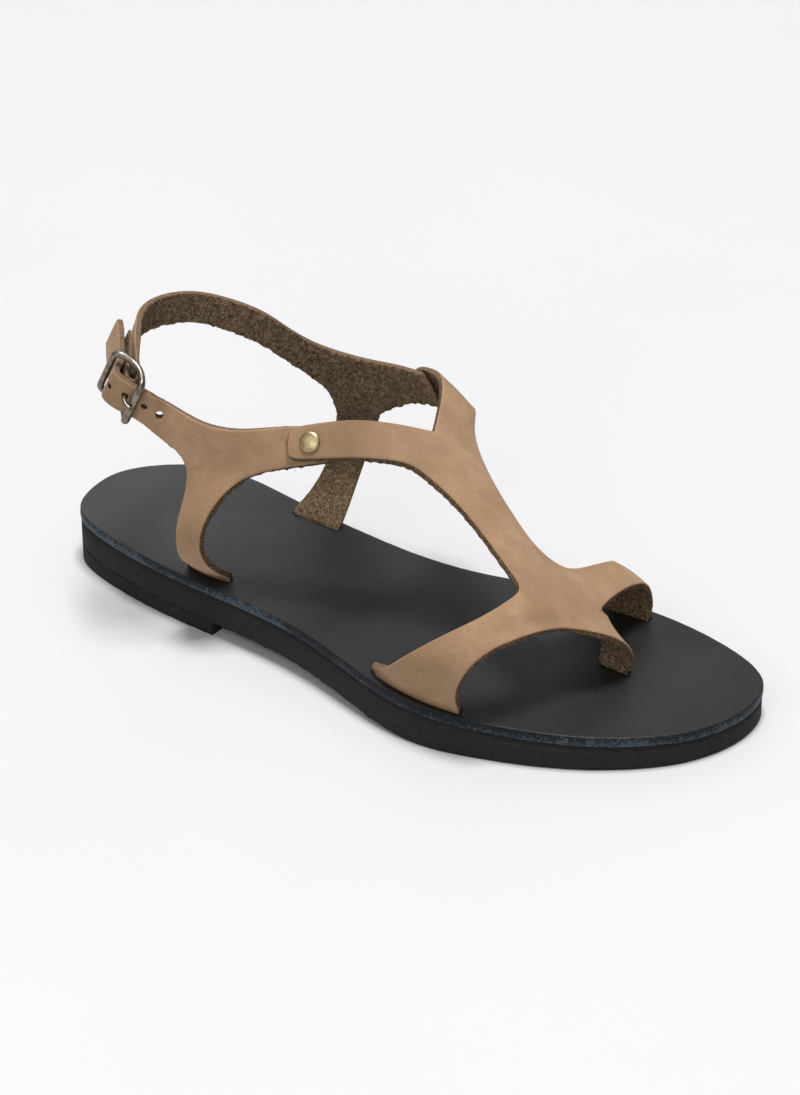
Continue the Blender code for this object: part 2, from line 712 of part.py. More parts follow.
def surface_hit(thing, place, direction):
    """First point of a finished surface met from a place along a direction, all in millimetres."""
    finished = thing.evaluated_get(bpy.context.evaluated_depsgraph_get())
    hit, point, normal, face = finished.ray_cast(Vector(place) * MM, Vector(direction))
    return np.array(point) / MM


def surface_normal(thing, place):
    finished = thing.evaluated_get(bpy.context.evaluated_depsgraph_get())
    hit, point, normal, face = finished.closest_point_on_mesh(Vector(place) * MM)
    return np.array(point) / MM, np.array(normal)


def paint(thing, kind):
    """Give a piece its own material."""
    colour, roughness, metallic = KINDS[kind]
    material = bpy.data.materials.new(thing.name)
    material.use_nodes = True
    shader = material.node_tree.nodes["Principled BSDF"]
    shader.inputs["Base Color"].default_value = (*colour, 1.0)
    shader.inputs["Roughness"].default_value = roughness
    shader.inputs["Metallic"].default_value = metallic
    thing.data.materials.append(material)


def sole(parts):
    """Insole, outsole and heel lift, each a gap apart."""
    insole = slab("insole", [
        (INSOLE_BEVEL, footbed),
        (0.0, lambda x: footbed(x) - INSOLE_BEVEL),
        (0.0, lambda x: footbed(x) - INSOLE_THICK),
    ], parts)
    outsole = slab("outsole", [
        (OUTSOLE_INSET, lambda x: footbed(x) - INSOLE_THICK - GAP),
        (OUTSOLE_INSET, lambda x: underside(x) + FLOOR_ROUND),
        (OUTSOLE_INSET + FLOOR_ROUND, underside),
    ], parts)
    heel_lift = slab("heel_lift", [
        (HEEL_INSET, lambda x: underside(x) - GAP),
        (HEEL_INSET, lambda x: FLOOR_ROUND),
        (HEEL_INSET + FLOOR_ROUND, lambda x: 0.0),
    ], parts, sections=HEEL_SECTIONS, last=np.arccos(1 - 2 * HEEL_BREAST_X / LENGTH))
    return insole, outsole, heel_lift


def join_by_rivet(name, over, under, near, parts, cutters):
    """Rivet two straps where they overlap, and cut its hole through both."""
    outside, normal = surface_normal(over, near)
    inside = surface_hit(under, outside - REACH * normal, normal)
    body = rivet(name, outside, inside, (CAP_RADIUS, CAP_HEIGHT, CAP_SEAT), SHANK_RADIUS, parts)
    hole = pin(name + " hole", outside, normal, SHANK_RADIUS + GAP, 2 * REACH, cutters)
    return body, ((over, hole), (under, hole))


def buckle(outer, inner, parts, cutters):
    """Frame with its centre bar, the prong, and the rivet that closes the fold."""
    frame = tube("buckle_frame", frame_line(), BAR_RADIUS, True, parts)
    ends = [at_buckle(0.0, 0.0, BUCKLE_SHIFT + side * BUCKLE_WIDE / 2) for side in (-1, 1)]
    bar = tube("centre bar", ends, CENTRE_BAR_RADIUS, False, cutters)
    weld = frame.modifiers.new("centre bar", "BOOLEAN")
    weld.operation = "UNION"
    weld.solver = "EXACT"
    weld.object = bar
    prong = tube("buckle_prong", prong_line(), PRONG_RADIUS, False, parts)
    outside = surface_hit(inner, at_fold(FOLD_RIVET_BACK, REACH), -FOLD_OFF)
    inside = surface_hit(inner, at_fold(FOLD_RIVET_BACK, -REACH), FOLD_OFF)
    cap = (FOLD_CAP_RADIUS, FOLD_CAP_HEIGHT, FOLD_CAP_SEAT)
    fold_rivet = rivet("fold_rivet", outside, inside, cap, FOLD_SHANK_RADIUS, parts)
    fold_hole = pin("fold hole", outside, FOLD_OFF, FOLD_SHANK_RADIUS + GAP, 2 * REACH, cutters)
    slit_place = at_fold(SLIT_MIDDLE, 0.0) + PRONG_ACROSS * BUCKLE_ACROSS
    slit = block("prong slit", slit_place, (SLIT_LONG, REACH, SLIT_WIDE),
                 (FOLD_BACK, FOLD_OFF, BUCKLE_ACROSS), cutters)
    cuts = [(inner, fold_hole), (inner, slit)]
    for along, out, across, radius in STRAP_HOLES:
        place, normal = surface_normal(outer, at_buckle(along, out, across))
        cuts.append((outer, pin("strap hole", place, normal, radius, REACH, cutters)))
    prong_hole = tube("prong hole", prong_line(), PRONG_RADIUS + PRONG_CLEAR, False, cutters)
    cuts.append((outer, prong_hole))
    return (frame, prong), fold_rivet, cuts


def centre_on_floor(things):
    """Carry everything to the middle of its own footprint by one empty."""
    graph = bpy.context.evaluated_depsgraph_get()
    low = np.full(3, np.inf)
    high = np.full(3, -np.inf)
    for thing in things:
        finished = thing.evaluated_get(graph)
        for vertex in finished.to_mesh().vertices:
            place = np.array(finished.matrix_world @ vertex.co)
            low = np.minimum(low, place)
            high = np.maximum(high, place)
        finished.to_mesh_clear()
    root = bpy.data.objects.new("sandal", None)
    bpy.context.scene.collection.objects.link(root)
    root.location = (-(low[0] + high[0]) / 2, -(low[1] + high[1]) / 2, -low[2])
    for thing in bpy.data.objects:
        if thing is not root:
            thing.parent = root


def main():
    for thing in list(bpy.data.objects):
        bpy.data.objects.remove(thing)
    parts = bpy.data.collections.new("ankle strap sandal")
    cutters = bpy.data.collections.new("cutters")
    bpy.context.scene.collection.children.link(parts)
    bpy.context.scene.collection.children.link(cutters)
    insole, outsole, heel_lift = sole(parts)
    upper = vamp(parts)
    outer = outer_quarter(parts)
    inner = inner_quarter(parts)
    slots = (
        ("toe post slot", TOE_POST, TOE_POST_SLOT, VAMP_COLUMNS, 1, LEATHER, 0.0),
        ("outer toe slot", OUTER_TOE_ARM, OUTER_TOE_SLOT, len(TOE_CROSS), 1, LEATHER, 0.0),
        ("inner toe slot", INNER_TOE_ARM, INNER_TOE_SLOT, len(TOE_CROSS), -1, LEATHER, 0.0),
        ("outer leg slot", OUTER_LEG, OUTER_LEG_SLOT, ARM_COLUMNS, -1, LEATHER, 0.0),
        ("inner leg slot", INNER_LEG, INNER_LEG_SLOT, ARM_COLUMNS, 1, 0.0, LEATHER),
    )
    cuts = [(insole, slot_cutter(*slot, cutters)) for slot in slots]
    outer_rivet, holes = join_by_rivet("outer_rivet", upper, outer, OUTER_RIVET, parts, cutters)
    cuts += holes
    inner_rivet, holes = join_by_rivet("inner_rivet", upper, inner, INNER_RIVET, parts, cutters)
    cuts += holes
    metal, fold_rivet, holes = buckle(outer, inner, parts, cutters)
    cuts += holes
    for thing, cutter in cuts:
        cut(thing, cutter)
    for cutter in cutters.objects:
        cutter.hide_render = True
        cutter.display_type = "WIRE"
    kinds = {
        "nubuck": (upper, outer, inner),
        "insole leather": (insole,),
        "sole rubber": (outsole, heel_lift),
        "brass": (outer_rivet, inner_rivet),
        "antique nickel": (*metal, fold_rivet),
    }
    for kind, things in kinds.items():
        for thing in things:
            paint(thing, kind)
    centre_on_floor(parts.objects)


main()
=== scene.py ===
import bmesh
import bpy
import numpy as np
from mathutils import Matrix, Vector
from mathutils.kdtree import KDTree

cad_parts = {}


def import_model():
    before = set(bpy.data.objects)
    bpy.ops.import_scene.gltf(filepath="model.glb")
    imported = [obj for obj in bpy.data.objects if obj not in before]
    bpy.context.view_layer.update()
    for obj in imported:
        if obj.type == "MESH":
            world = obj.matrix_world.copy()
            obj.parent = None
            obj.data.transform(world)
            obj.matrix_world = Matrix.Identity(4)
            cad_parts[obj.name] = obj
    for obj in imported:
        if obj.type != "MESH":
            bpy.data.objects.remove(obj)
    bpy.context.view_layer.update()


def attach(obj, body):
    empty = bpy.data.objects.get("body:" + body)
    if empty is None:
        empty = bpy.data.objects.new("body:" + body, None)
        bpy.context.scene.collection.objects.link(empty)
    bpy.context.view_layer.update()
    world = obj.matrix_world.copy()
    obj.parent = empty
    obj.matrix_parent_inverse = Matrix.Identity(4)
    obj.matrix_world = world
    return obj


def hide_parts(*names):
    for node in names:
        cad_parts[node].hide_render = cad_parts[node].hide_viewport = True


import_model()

# Ankle strap sandal for the right foot. Tables are in millimetres from the heel: x to the toes, y from the
# outer side (minus) to the inner side (plus), z up. PLACE carries them to the middle of the footprint.
MM = 0.001
PLACE = np.array((-123.0, -1.19, 0.0))

# Height of the photograph, and where its camera stands to the sandal
IMAGE_HIGH = 1095
CAMERA_AT = (748.8, -873.6, 679.3)
CAMERA_AIM = (123.0, 2.0, 34.5)
CAMERA_FOCUS = 3880.0
SENSOR = 36.0

# Sole
LENGTH = 246.0
INSOLE_THICK = 3.5
OUTSOLE_INSET = 0.2
HEEL_BREAST_X = 72.0
LAYER_GAP = 0.06
HEEL_GAP = 0.05

# Leather
LEATHER = 2.2
SKIVED = 0.55
SLOT_CLEAR = 0.2
SLOT_LEAD = 1.2
GAP = 0.3
SLOT_LEVELS = (SLOT_LEAD, -SLOT_LEAD, GAP - INSOLE_THICK)
LEVELS = 4
SLOT_SMOOTHING = 2
VAMP_COLUMNS = 5
ARM_COLUMNS = 3
LEG_ROWS = (3, 4, 5)

# Rivets
OUTER_RIVET = (102.4, -18.0, 76.0)
INNER_RIVET = (105.0, 46.2, 70.6)
CAP_RADIUS = 3.4
FOLD_CAP_RADIUS = 1.9
REACH = 12.0

# Buckle, in its own directions: along the strap to its tip, across, and out from the ankle
BUCKLE_CENTRE = (44.2, -37.4, 86.1)
BUCKLE_HEADING = 164.0
BUCKLE_RISE = 27.0
BUCKLE_LEAN = 5.0
BUCKLE_LONG = 15.2
BUCKLE_WIDE = 18.0
BUCKLE_SHIFT = 1.0
BUCKLE_CORNER = 2.0
BUCKLE_BOW = 3.5
BAR_RADIUS = 1.15
FRONT_BAR_RADIUS = 1.4
CENTRE_BAR_RADIUS = 0.9
PRONG_RADIUS = 0.75
PRONG_ACROSS = 1.2
SLIT_LONG = 7.2
SLIT_MIDDLE = -0.4
SLIT_WIDE = 2.7
STRAP_WIDTH = 13.0

# Sole outline: a row for each section, with the outer and the inner edge
# Columns: x, outer, inner
SOLE = [
    (0, -0.5, -0.5),
    (3, -15, 11.2),
    (8.5, -21.4, 18.4),
    (17, -25.4, 25.4),
    (29, -28.6, 30.2),
    (43, -31, 30.6),
    (59, -32.5, 28.6),
    (76, -33.2, 26.4),
    (94, -34, 24.9),
    (112, -36.6, 24.4),
    (128, -40.5, 26.2),
    (142, -44.2, 30.2),
    (156, -46.4, 35.9),
    (170, -45.6, 41.3),
    (184, -41.8, 44.7),
    (198, -36.5, 46),
    (211, -30, 45.4),
    (222, -22.6, 43.5),
    (231, -14.6, 40.8),
    (238.5, -5.5, 36.8),
    (243.5, 4.8, 31),
    (246, 18.5, 18.5),
]

# Height of the footbed and of the outsole's underside
# Columns: x, z
FOOTBED = [
    (0, 19.8),
    (45, 19.2),
    (85, 18.6),
    (115, 18),
    (145, 16.4),
    (175, 14.3),
    (205, 12.8),
    (246, 11.4),
]
UNDERSIDE = [
    (0, 6.6),
    (45, 5.6),
    (75, 4.8),
    (95, 4.3),
    (115, 3.7),
    (135, 2.4),
    (152, 0.8),
    (166, 0),
    (234, 0),
    (246, 0.3),
]

# Strap sections: centre, width, direction across by its heading and rise, crown of the middle
# Columns: x, y, z, width, heading, rise, crown
T_BAR = [
    (131, 15.2, 68, 39, 97, -11, 4.5),
    (146, 7.9, 62.6, 23.3, 88, -13, 2),
    (159, 3.1, 57.3, 20.2, 84, -17, 1.2),
    (171, -2.4, 52.8, 20.2, 86, -19, 1.2),
]
TOE_CROSS = [
    (182.2, -2.3, 45.4, 32.4, 98, -19, 2),
    (187, -2.5, 43, 44, 97, -14, 2.5),
    (191.5, -2.5, 40, 36, 94, -12, 2),
    (196, -2.6, 36.6, 18.8, 90, -11, 1.2),
]
TOE_POST = [
    (200.4, 6.7, 31.2, 18, 120, -14, 0.6),
    (201.5, 11.6, 25, 15, 150, -8, 0.3),
    (201.5, 12.5, 18.5, 11, 180, 3, 0),
]
OUTER_ARM = [
    (125.1, -3.4, 77.4, 15.2, 124, 21, 1),
    (114.8, -11.9, 79, 12.8, 122, 45, 0.6),
    (101, -18.6, 75.9, 11.2, 116, 57, 0.3),
    (95.5, -21.1, 74.6, 9.6, 116, 60, 0.2),
]
INNER_ARM = [
    (123.9, 34.2, 71.5, 21.5, 84, -22, 2.5),
    (115, 45.5, 70.9, 15.5, 60, -58, 2),
    (104.5, 46.6, 69.6, 12.6, 50, -80, 0.4),
    (98.5, 46.4, 69.2, 10.5, 50, -82, 0.2),
]
CROTCH = (128.2, 14, 74)
TOE_CORNER = 0.35  # 1.0 is a sharp corner and less is rounder
OUTER_TOE_ARM = [
    (186.5, -29, 44.5, 14, 18, -20, 0.6),
    (179.2, -40, 41.5, 16.5, 9, 0, 0.8),
    (170, -45.7, 32.5, 21.6, 3, 4, 1),
    (162.8, -45, 21.5, 26.8, 1, 1, 1.2),
]
INNER_TOE_ARM = [
    (187.4, 24, 35.1, 13.2, -8, -19, 0.6),
    (190, 36.2, 33.1, 10.8, 2, -26, 1),
    (185.8, 41.5, 26.4, 18, 4, -12, 0.8),
    (180.5, 41.8, 19, 28, 8, -4, 0.6),
]
OUTER_BAND = [
    (106, -12.6, 73.6, 10.6, 116, 55, 0.3),
    (100.2, -15.4, 73, 12.2, 116, 57, 0.3),
    (91.5, -21, 71.7, 13.8, 110, 65, 0.3),
    (82, -27.5, 69, 15.6, 100, 80, 0.3),
    (72.5, -31, 69, 15.8, 90, 84, 0.3),
    (65.3, -33, 72, 13.6, 90, 82, 0.3),
    (57, -36.2, 77.6, 12.6, 70, 74, 0.2),
]
OUTER_LEG = [
    (71.6, -36, 54.5, 12, 180, 0, 0.3),
    (70.1, -41, 46, 9.8, 180, 0, 0.3),
    (69.2, -41.6, 37, 9.4, 180, 0, 0.3),
    (68.8, -37.5, 28.5, 12, 180, 0, 0.6),
    (67.6, -30.5, 22.5, 15.8, 180, 0, 1.4),
]
INNER_BAND = [
    (107.7, 39.2, 71, 12, 186, 52, 0),
    (100, 40.2, 69.9, 11.2, 210, 78, 0),
    (92, 41.3, 66.7, 15.5, 250, 84, 0),
    (84, 41, 63.4, 20.2, 260, 84, 0),
    (74.5, 39.5, 64, 19.5, 265, 82, 0),
    (66.5, 36, 68.5, 15, 260, 80, 0),
    (60, 28.5, 76.8, 12.4, 250, 84, 0),
    (54, 22.5, 84.3, 12, 240, 88, 0),
    (44, 16.5, 89.2, 10.6, 0, 89, 0),
    (33.5, 10, 92.3, 10.3, 0, 88, 0),
    (26.5, 0, 92.3, 10.3, 0, 84, 0),
    (26.8, -9, 91.3, 10.8, 10, 76, 0),
]
INNER_LEG = [
    (76, 44, 49.5, 15.6, 180, 0, 0.2),
    (73.8, 43, 38, 11.7, 180, 0, 0.2),
    (73.5, 36.5, 29, 12.5, 180, 0, 0.2),
    (75, 28, 24, 15, 180, 0, 0.2),
]

# Runs at the buckle
# Columns: along, out, width
BUCKLE_RUN = [
    (-11.4, -1.2, STRAP_WIDTH),
    (-7.6, 1.3, 12.4),
    (-3.6, 4.4, STRAP_WIDTH),
    (0.4, 6.3, STRAP_WIDTH),
    (3.8, 6.5, STRAP_WIDTH),
    (5.9, 3.5, 12.2),
    (7.7, 0.4, 12),
    (11.6, -1.5, STRAP_WIDTH),
    (15.6, -4, 13.4),
    (19.2, -6.2, 13.2),
    (22, -7.7, 12),
]
# Columns: along, out, across, radius
STRAP_HOLES = [
    (-17.7, 0, 1.6, 1.3),
    (-9.3, 0, 1, 1.1),
    (2, 9, 0.4, 1),
]
FOLD_SWING = 34.0
# Columns: back, off, width
FOLD_RUN = [
    (22, -2.6, 11.5),
    (15, -2.6, 12),
    (8, -1.7, STRAP_WIDTH),
    (4, -2.2, STRAP_WIDTH),
    (0.8, -3.2, STRAP_WIDTH),
    (-3.2, -2.4, STRAP_WIDTH),
    (-3.2, 2.4, STRAP_WIDTH),
    (0.8, 3.2, STRAP_WIDTH),
    (4, 2.2, STRAP_WIDTH),
    (8, 1.7, STRAP_WIDTH),
    (12, 1.6, 12.4),
    (16, 1.6, 12),
    (19.5, 1.6, 11),
]
FULL_FOLD_ROWS = 2
FOLD_RIVET_BACK = 16.5
# Columns: along, out
PRONG_RUN = [
    (-1.4, 2.15),
    (-2.6, 2.9),
    (-3.8, 4.2),
    (-5, 5.3),
    (-6.8, 5.8),
    (-8.6, 5.5),
]
RING_FROM = -170.0
RING_TO = 90.0

# Slots in the insole: middle of the strap's face, width, heading of its width, crown
OUTER_TOE_SLOT = (160.8, -41.8, 32, 0, 2.2)
INNER_TOE_SLOT = (178.5, 38.5, 32.5, 12, 0.8)
TOE_POST_SLOT = (201, 11.6, 10, 180, 0)
OUTER_LEG_SLOT = (66.4, -26.6, 17.4, 180, 2)
INNER_LEG_SLOT = (75, 20.4, 18.5, 180, 0)


# Random fields, the same at each run
def lattice(cell, seed):
    """Pseudo-random value from -1 to 1 for each lattice cell."""
    n = cell.astype(np.int64)
    h = (n[:, 0] * 73856093) ^ (n[:, 1] * 19349663) ^ (n[:, 2] * 83492791) ^ (seed * 2654435761)
    h = (h ^ (h >> 13)) * 1274126177
    h = (h ^ (h >> 16)) & 0xFFFFFF
    return h / 0x7FFFFF - 1.0


def field(points, size, seed):
    """Smooth noise from -1 to 1 with features of a size."""
    p = np.asarray(points, float) / size + 500.0
    cell = np.floor(p)
    f = p - cell
    u = f * f * (3 - 2 * f)
    total = np.zeros(len(p))
    for corner in range(8):
        step = np.array((corner & 1, corner >> 1 & 1, corner >> 2 & 1))
        weight = np.prod(np.where(step, u, 1 - u), axis=1)
        total += weight * lattice(cell + step, seed)
    return total


def cloud(points, size, octaves, seed):
    return sum(field(points, size / 2 ** k, seed + k) * 0.5 ** k for k in range(octaves))


# Vectors and places
def unit(v):
    """Vectors brought to length one."""
    return v / np.linalg.norm(v, axis=-1, keepdims=True)


def direction(heading, rise):
    """Unit vector from a heading, from +X to +Y, and a rise from level, in degrees."""
    heading, rise = np.radians(heading), np.radians(rise)
    return np.array([np.cos(rise) * np.cos(heading), np.cos(rise) * np.sin(heading), np.sin(rise)])


def world(place):
    """Place of the tables as a vector of the scene."""
    return Vector((np.asarray(place) + PLACE) * MM)


# Curves of the sole
def cubic(table, x):
    """Smooth height at x through the rows of a two-column table."""
    knots, values = np.array(table).T
    slopes = np.gradient(values, knots)
    x = np.asarray(x, float)
    i = np.clip(np.searchsorted(knots, x) - 1, 0, len(knots) - 2)
    span = knots[i + 1] - knots[i]
    t = (x - knots[i]) / span
    rise = (2 * t ** 3 - 3 * t ** 2 + 1) * values[i] + (3 * t ** 2 - 2 * t ** 3) * values[i + 1]
    lean = (t ** 3 - 2 * t ** 2 + t) * slopes[i] + (t ** 3 - t ** 2) * slopes[i + 1]
    return rise + lean * span


def footbed(x):
    return cubic(FOOTBED, x)


def underside(x):
    return np.maximum(cubic(UNDERSIDE, x), 0.0)


def closed_spline(knots, values, period):
    """Periodic cubic spline, returned as a function of the angle."""
    n = len(knots)
    step = np.append(np.diff(knots), knots[0] + period - knots[-1])
    rise = np.append(np.diff(values), values[0] - values[-1]) / step
    system = np.zeros((n, n))
    for i in range(n):
        system[i, i - 1] = step[i - 1]
        system[i, i] = 2 * (step[i - 1] + step[i])
        system[i, (i + 1) % n] = step[i]
    bend = np.linalg.solve(system, 6 * (rise - np.roll(rise, 1)))

    def value(angle):
        angle = (np.asarray(angle, float) - knots[0]) % period + knots[0]
        i = np.searchsorted(knots, angle, side="right") - 1
        j = (i + 1) % n
        a = angle - knots[i]
        b = step[i] - a
        curve = (bend[i] * b ** 3 + bend[j] * a ** 3) / (6 * step[i])
        left = (values[i] / step[i] - bend[i] * step[i] / 6) * b
        right = (values[j] / step[i] - bend[j] * step[i] / 6) * a
        return curve + left + right

    return value


def sole_edge():
    """Sole edge as a function of the angle: 0 at the heel, half a turn at the toe, the inner side first."""
    x, outer, inner = np.array(SOLE).T
    turn = np.arccos(1 - 2 * x / LENGTH)
    knots = np.append(turn, 2 * np.pi - turn[-2:0:-1])
    return closed_spline(knots, np.append(inner, outer[-2:0:-1]), 2 * np.pi)


EDGE_Y = sole_edge()


def edge_points(angles, inset):
    """Points of the sole outline in plan, moved inwards by the inset."""
    small = 0.01

    def at(a):
        return np.stack([LENGTH / 2 * (1 - np.cos(a)), EDGE_Y(a)], axis=1)

    along = unit(at(angles + small) - at(angles - small))
    return at(angles) + inset * np.stack([along[:, 1], -along[:, 0]], axis=1)


# Meshes
def new_object(name, data):
    thing = bpy.data.objects.new(name, data)
    bpy.context.scene.collection.objects.link(thing)
    return thing


def mesh_object(name, points, faces, materials=(), picks=None):
    """Smooth-shaded object from points in millimetres, with a material pick for each face."""
    mesh = bpy.data.meshes.new(name)
    mesh.from_pydata(((np.asarray(points) + PLACE) * MM).tolist(), [], faces)
    mesh.shade_smooth()
    for material in materials:
        mesh.materials.append(material)
    if picks is not None:
        mesh.polygons.foreach_set("material_index", np.asarray(picks, np.int32))
    mesh.update()
    return new_object(name, mesh)


def from_bmesh(name, bm):
    mesh = bpy.data.meshes.new(name)
    bm.to_mesh(mesh)
    bm.free()
    return new_object(name, mesh)


def layer_of(data, name, width, kind=float):
    """Values of a mesh layer, a row for each element."""
    values = np.zeros(width * len(data), kind)
    data.foreach_get(name, values)
    return values.reshape(-1, width)


def apply(thing):
    """Replace an object's mesh by its evaluated one and drop its modifiers."""
    graph = bpy.context.evaluated_depsgraph_get()
    mesh = bpy.data.meshes.new_from_object(thing.evaluated_get(graph), depsgraph=graph)
    old = thing.data
    thing.modifiers.clear()
    thing.data = mesh
    mesh.name = thing.name
    bpy.data.meshes.remove(old)


def cut(thing, cutters, material):
    """Cut solids out of a mesh, and remove them. The cut faces take the material."""
    for cutter in cutters:
        cutter.data.materials.append(material)
        bite = thing.modifiers.new("cut", "BOOLEAN")
        bite.operation = "DIFFERENCE"
        bite.solver = "EXACT"
        bite.material_mode = "TRANSFER"
        bite.object = cutter
    apply(thing)
    for cutter in cutters:
        bpy.data.objects.remove(cutter)


def note(thing, name, values):
    """Keep a value for each vertex, for the materials."""
    layer = thing.data.attributes.new(name, "FLOAT", "POINT")
    layer.data.foreach_set("value", np.asarray(values, np.float32))


# Straps
def strap_points(table, columns, side, before=None):
    """Cage points of a strap, a list across for each section."""
    centres = [np.array(row[:3], float) for row in table]
    path = [centres[0] if before is None else np.array(before)] + centres
    shares = np.linspace(-0.5, 0.5, columns)
    points = []
    for i, (*_, width, heading, rise, crown) in enumerate(table):
        along = path[min(i + 2, len(path) - 1)] - path[i]
        across = direction(heading, rise)
        normal = unit(side * np.cross(along, across))
        points.append([centres[i] + s * width * across + (1 - 4 * s * s) * crown * normal for s in shares])
    return points


def slot_rows(slot, levels=SLOT_LEVELS):
    """Upright strap sections through a slot in the insole, at levels from the footbed."""
    x, y, width, heading, crown = slot
    slope = float(footbed(x + 1) - footbed(x - 1)) / 2
    rise = np.degrees(np.arctan(slope * np.cos(np.radians(heading))))
    return [(x, y, float(footbed(x)) + level, width, heading, rise, crown) for level in levels]


class Cage:
    """Open sheet of quads, made strip by strip from strap sections."""

    def __init__(self):
        self.bm = bmesh.new()
        self.weight = self.bm.verts.layers.float.new("thick")
        self.crease = self.bm.verts.layers.float.new("crease_vert")

    def rows(self, points, thick=1.0):
        made = [[self.bm.verts.new(p) for p in row] for row in points]
        for vertex in sum(made, []):
            vertex[self.weight] = thick
        return made

    def strip(self, rows, side):
        """Join rows of vertices with quads that face the grain side."""
        for a, b in zip(rows[:-1], rows[1:]):
            for j in range(len(a) - 1):
                corners = [a[j], b[j], b[j + 1], a[j + 1]]
                self.bm.faces.new(corners if side > 0 else corners[::-1])

    def branch(self, root, table, side, before):
        """Strip from a row of vertices along a strap's sections."""
        self.strip([root] + self.rows(strap_points(table, len(root), side, before)), side)

    def smooth(self, corners, levels=LEVELS):
        """Points, quads, normals and thickness shares of the smoothed sheet."""
        thing = from_bmesh("sheet", self.bm)
        soft = thing.modifiers.new("smooth", "SUBSURF")
        soft.levels = levels
        soft.render_levels = levels
        soft.boundary_smooth = corners
        apply(thing)
        mesh = thing.data
        points = layer_of(mesh.vertices, "co", 3)
        normals = layer_of(mesh.vertices, "normal", 3)
        quads = layer_of(mesh.polygons, "vertices", 4, np.int32)
        thick = layer_of(mesh.attributes["thick"].data, "value", 1)[:, 0]
        bpy.data.objects.remove(thing)
        return points, quads, normals, thick


def border(quads):
    """Directed border edges of a sheet: from vertex to vertex, the sheet on their left."""
    edges = np.concatenate([quads[:, [k, (k + 1) % 4]] for k in range(4)])
    size = int(edges.max()) + 1
    key = edges[:, 0].astype(np.int64) * size + edges[:, 1]
    back = edges[:, 1].astype(np.int64) * size + edges[:, 0]
    return edges[~np.isin(key, back)]


# Cut edges: rounding at the grain and flesh sides, rows between them, swell and roughness of the cut face,
# how far it slants and frays outwards at the flesh side, and that side's nap
GRAIN_ROUND = 0.35
FLESH_ROUND = 0.25
RIM_ROWS = 6
RIM_SWELL = 0.1
RIM_ROUGH = 0.08
SLANT = 0.65
FRAY = 0.5
NAP = 0.16

# Painted shade: places of the leather painted darker to stand in for shade, the fold of the curl at the outer
# toe arm among them
# Columns: middle, reach, share
PAINTED_SHADES = [
    ((112, -12, 78), 17, 0.5),
    ((168, -44, 28), 16, 0.15),
    ((69, -33, 36), 15, 0.12),
    ((144, -42, 19.5), 3.5, 0.5),
    ((76, 24, 32), 20, 0.4),
]


def rounding(distance, radius):
    """How far a surface drops near its edge."""
    d = np.clip(distance, 0.0, radius)
    return radius - np.sqrt(np.maximum(radius ** 2 - (radius - d) ** 2, 0.0))


def painted_shades(points):
    """How much painted shade darkens the leather, from 0 to 1."""
    return sum(share * np.exp(-np.sum((points - middle) ** 2, axis=1) / reach ** 2)
               for middle, reach, share in PAINTED_SHADES)


def leather(name, sheet, grain_depth, flesh_depth, relief, materials):
    """Thicken a smoothed sheet to a strap with a smooth grain side, a fibrous flesh side and a cut edge.

    Relief gives the soft waves and creases, in millimetres out of the leather. The rim comes back with the
    strap: its grain and flesh points, outward directions, normals and following points.
    """
    points, quads, normals, thick = sheet
    edges = border(quads)
    rim = edges[:, 0]
    tree = KDTree(len(rim))
    for i, v in enumerate(rim):
        tree.insert(points[v], i)
    tree.balance()
    distance = np.array([tree.find(p)[2] for p in points])
    waves = relief(points)
    nap = NAP * (cloud(points, 1.3, 3, 11) + 0.5 * cloud(points, 0.5, 1, 17)) * np.clip(distance, 0.3, 1.0)
    lift = grain_depth * thick + waves - rounding(distance, GRAIN_ROUND)
    sink = flesh_depth * thick - waves - nap - rounding(distance, FLESH_ROUND)
    grain = points + normals * lift[:, None]
    flesh = points - normals * sink[:, None]

    following = dict(edges.tolist())
    preceding = {b: a for a, b in following.items()}
    ahead = points[[following[v] for v in rim]] - points[[preceding[v] for v in rim]]
    out = unit(np.cross(ahead, normals[rim]))
    upward = np.clip(out[:, 2], 0.0, 1.0)
    free = np.clip((points[rim, 2] - footbed(points[rim, 0])) / SLOT_LEAD, 0.0, 1.0)
    loose = free * (1 - 0.9 * np.clip(1.6 * upward, 0.0, 1.0))
    fray = FRAY * loose * np.clip(cloud(points[rim], 1.4, 3, 31), -0.25, 1.0)
    slant = SLANT * loose
    rows = []
    for k in range(1, RIM_ROWS):
        share = k / RIM_ROWS
        swell = np.sin(np.pi * share)
        middle = grain[rim] * (1 - share) + flesh[rim] * share
        rough = RIM_ROUGH * cloud(middle, 0.9, 2, 23) * swell
        reach = RIM_SWELL * swell + rough + slant * share + fray * share ** 2
        rows.append(middle + out * reach[:, None])
    flesh[rim] += out * (slant + fray)[:, None]

    n, b = len(points), len(rim)
    spot = {v: i for i, v in enumerate(rim)}
    after = np.array([spot[following[v]] for v in rim])
    indices = [rim, *(2 * n + np.arange(len(rows) * b).reshape(-1, b)), n + rim]
    faces = quads.tolist() + (quads[:, ::-1] + n).tolist()
    for upper, lower in zip(indices[:-1], indices[1:]):
        faces += np.stack([upper, lower, lower[after], upper[after]], axis=1).tolist()
    picks = [0] * len(quads) + [2] * len(quads) + [1] * (RIM_ROWS * b)
    every = np.concatenate([grain, flesh] + rows)
    thing = mesh_object(name, every, faces, materials, picks)
    # How far each cut edge faces up; the cut edge's colour paints shade on the edges that do not face up
    face = np.zeros(n)
    face[rim] = upward
    note(thing, "upward", np.concatenate([face, face] + [upward] * len(rows)))
    # Painted shade at each point, for the materials
    note(thing, "shade", painted_shades(every))
    return thing, (grain[rim], flesh[rim], out, normals[rim], after)


# Loose fibres on the cut edges
FIBRE_STEP = 0.55
FIBRE_SIDES = 3
FIBRE_ROOT = 0.15


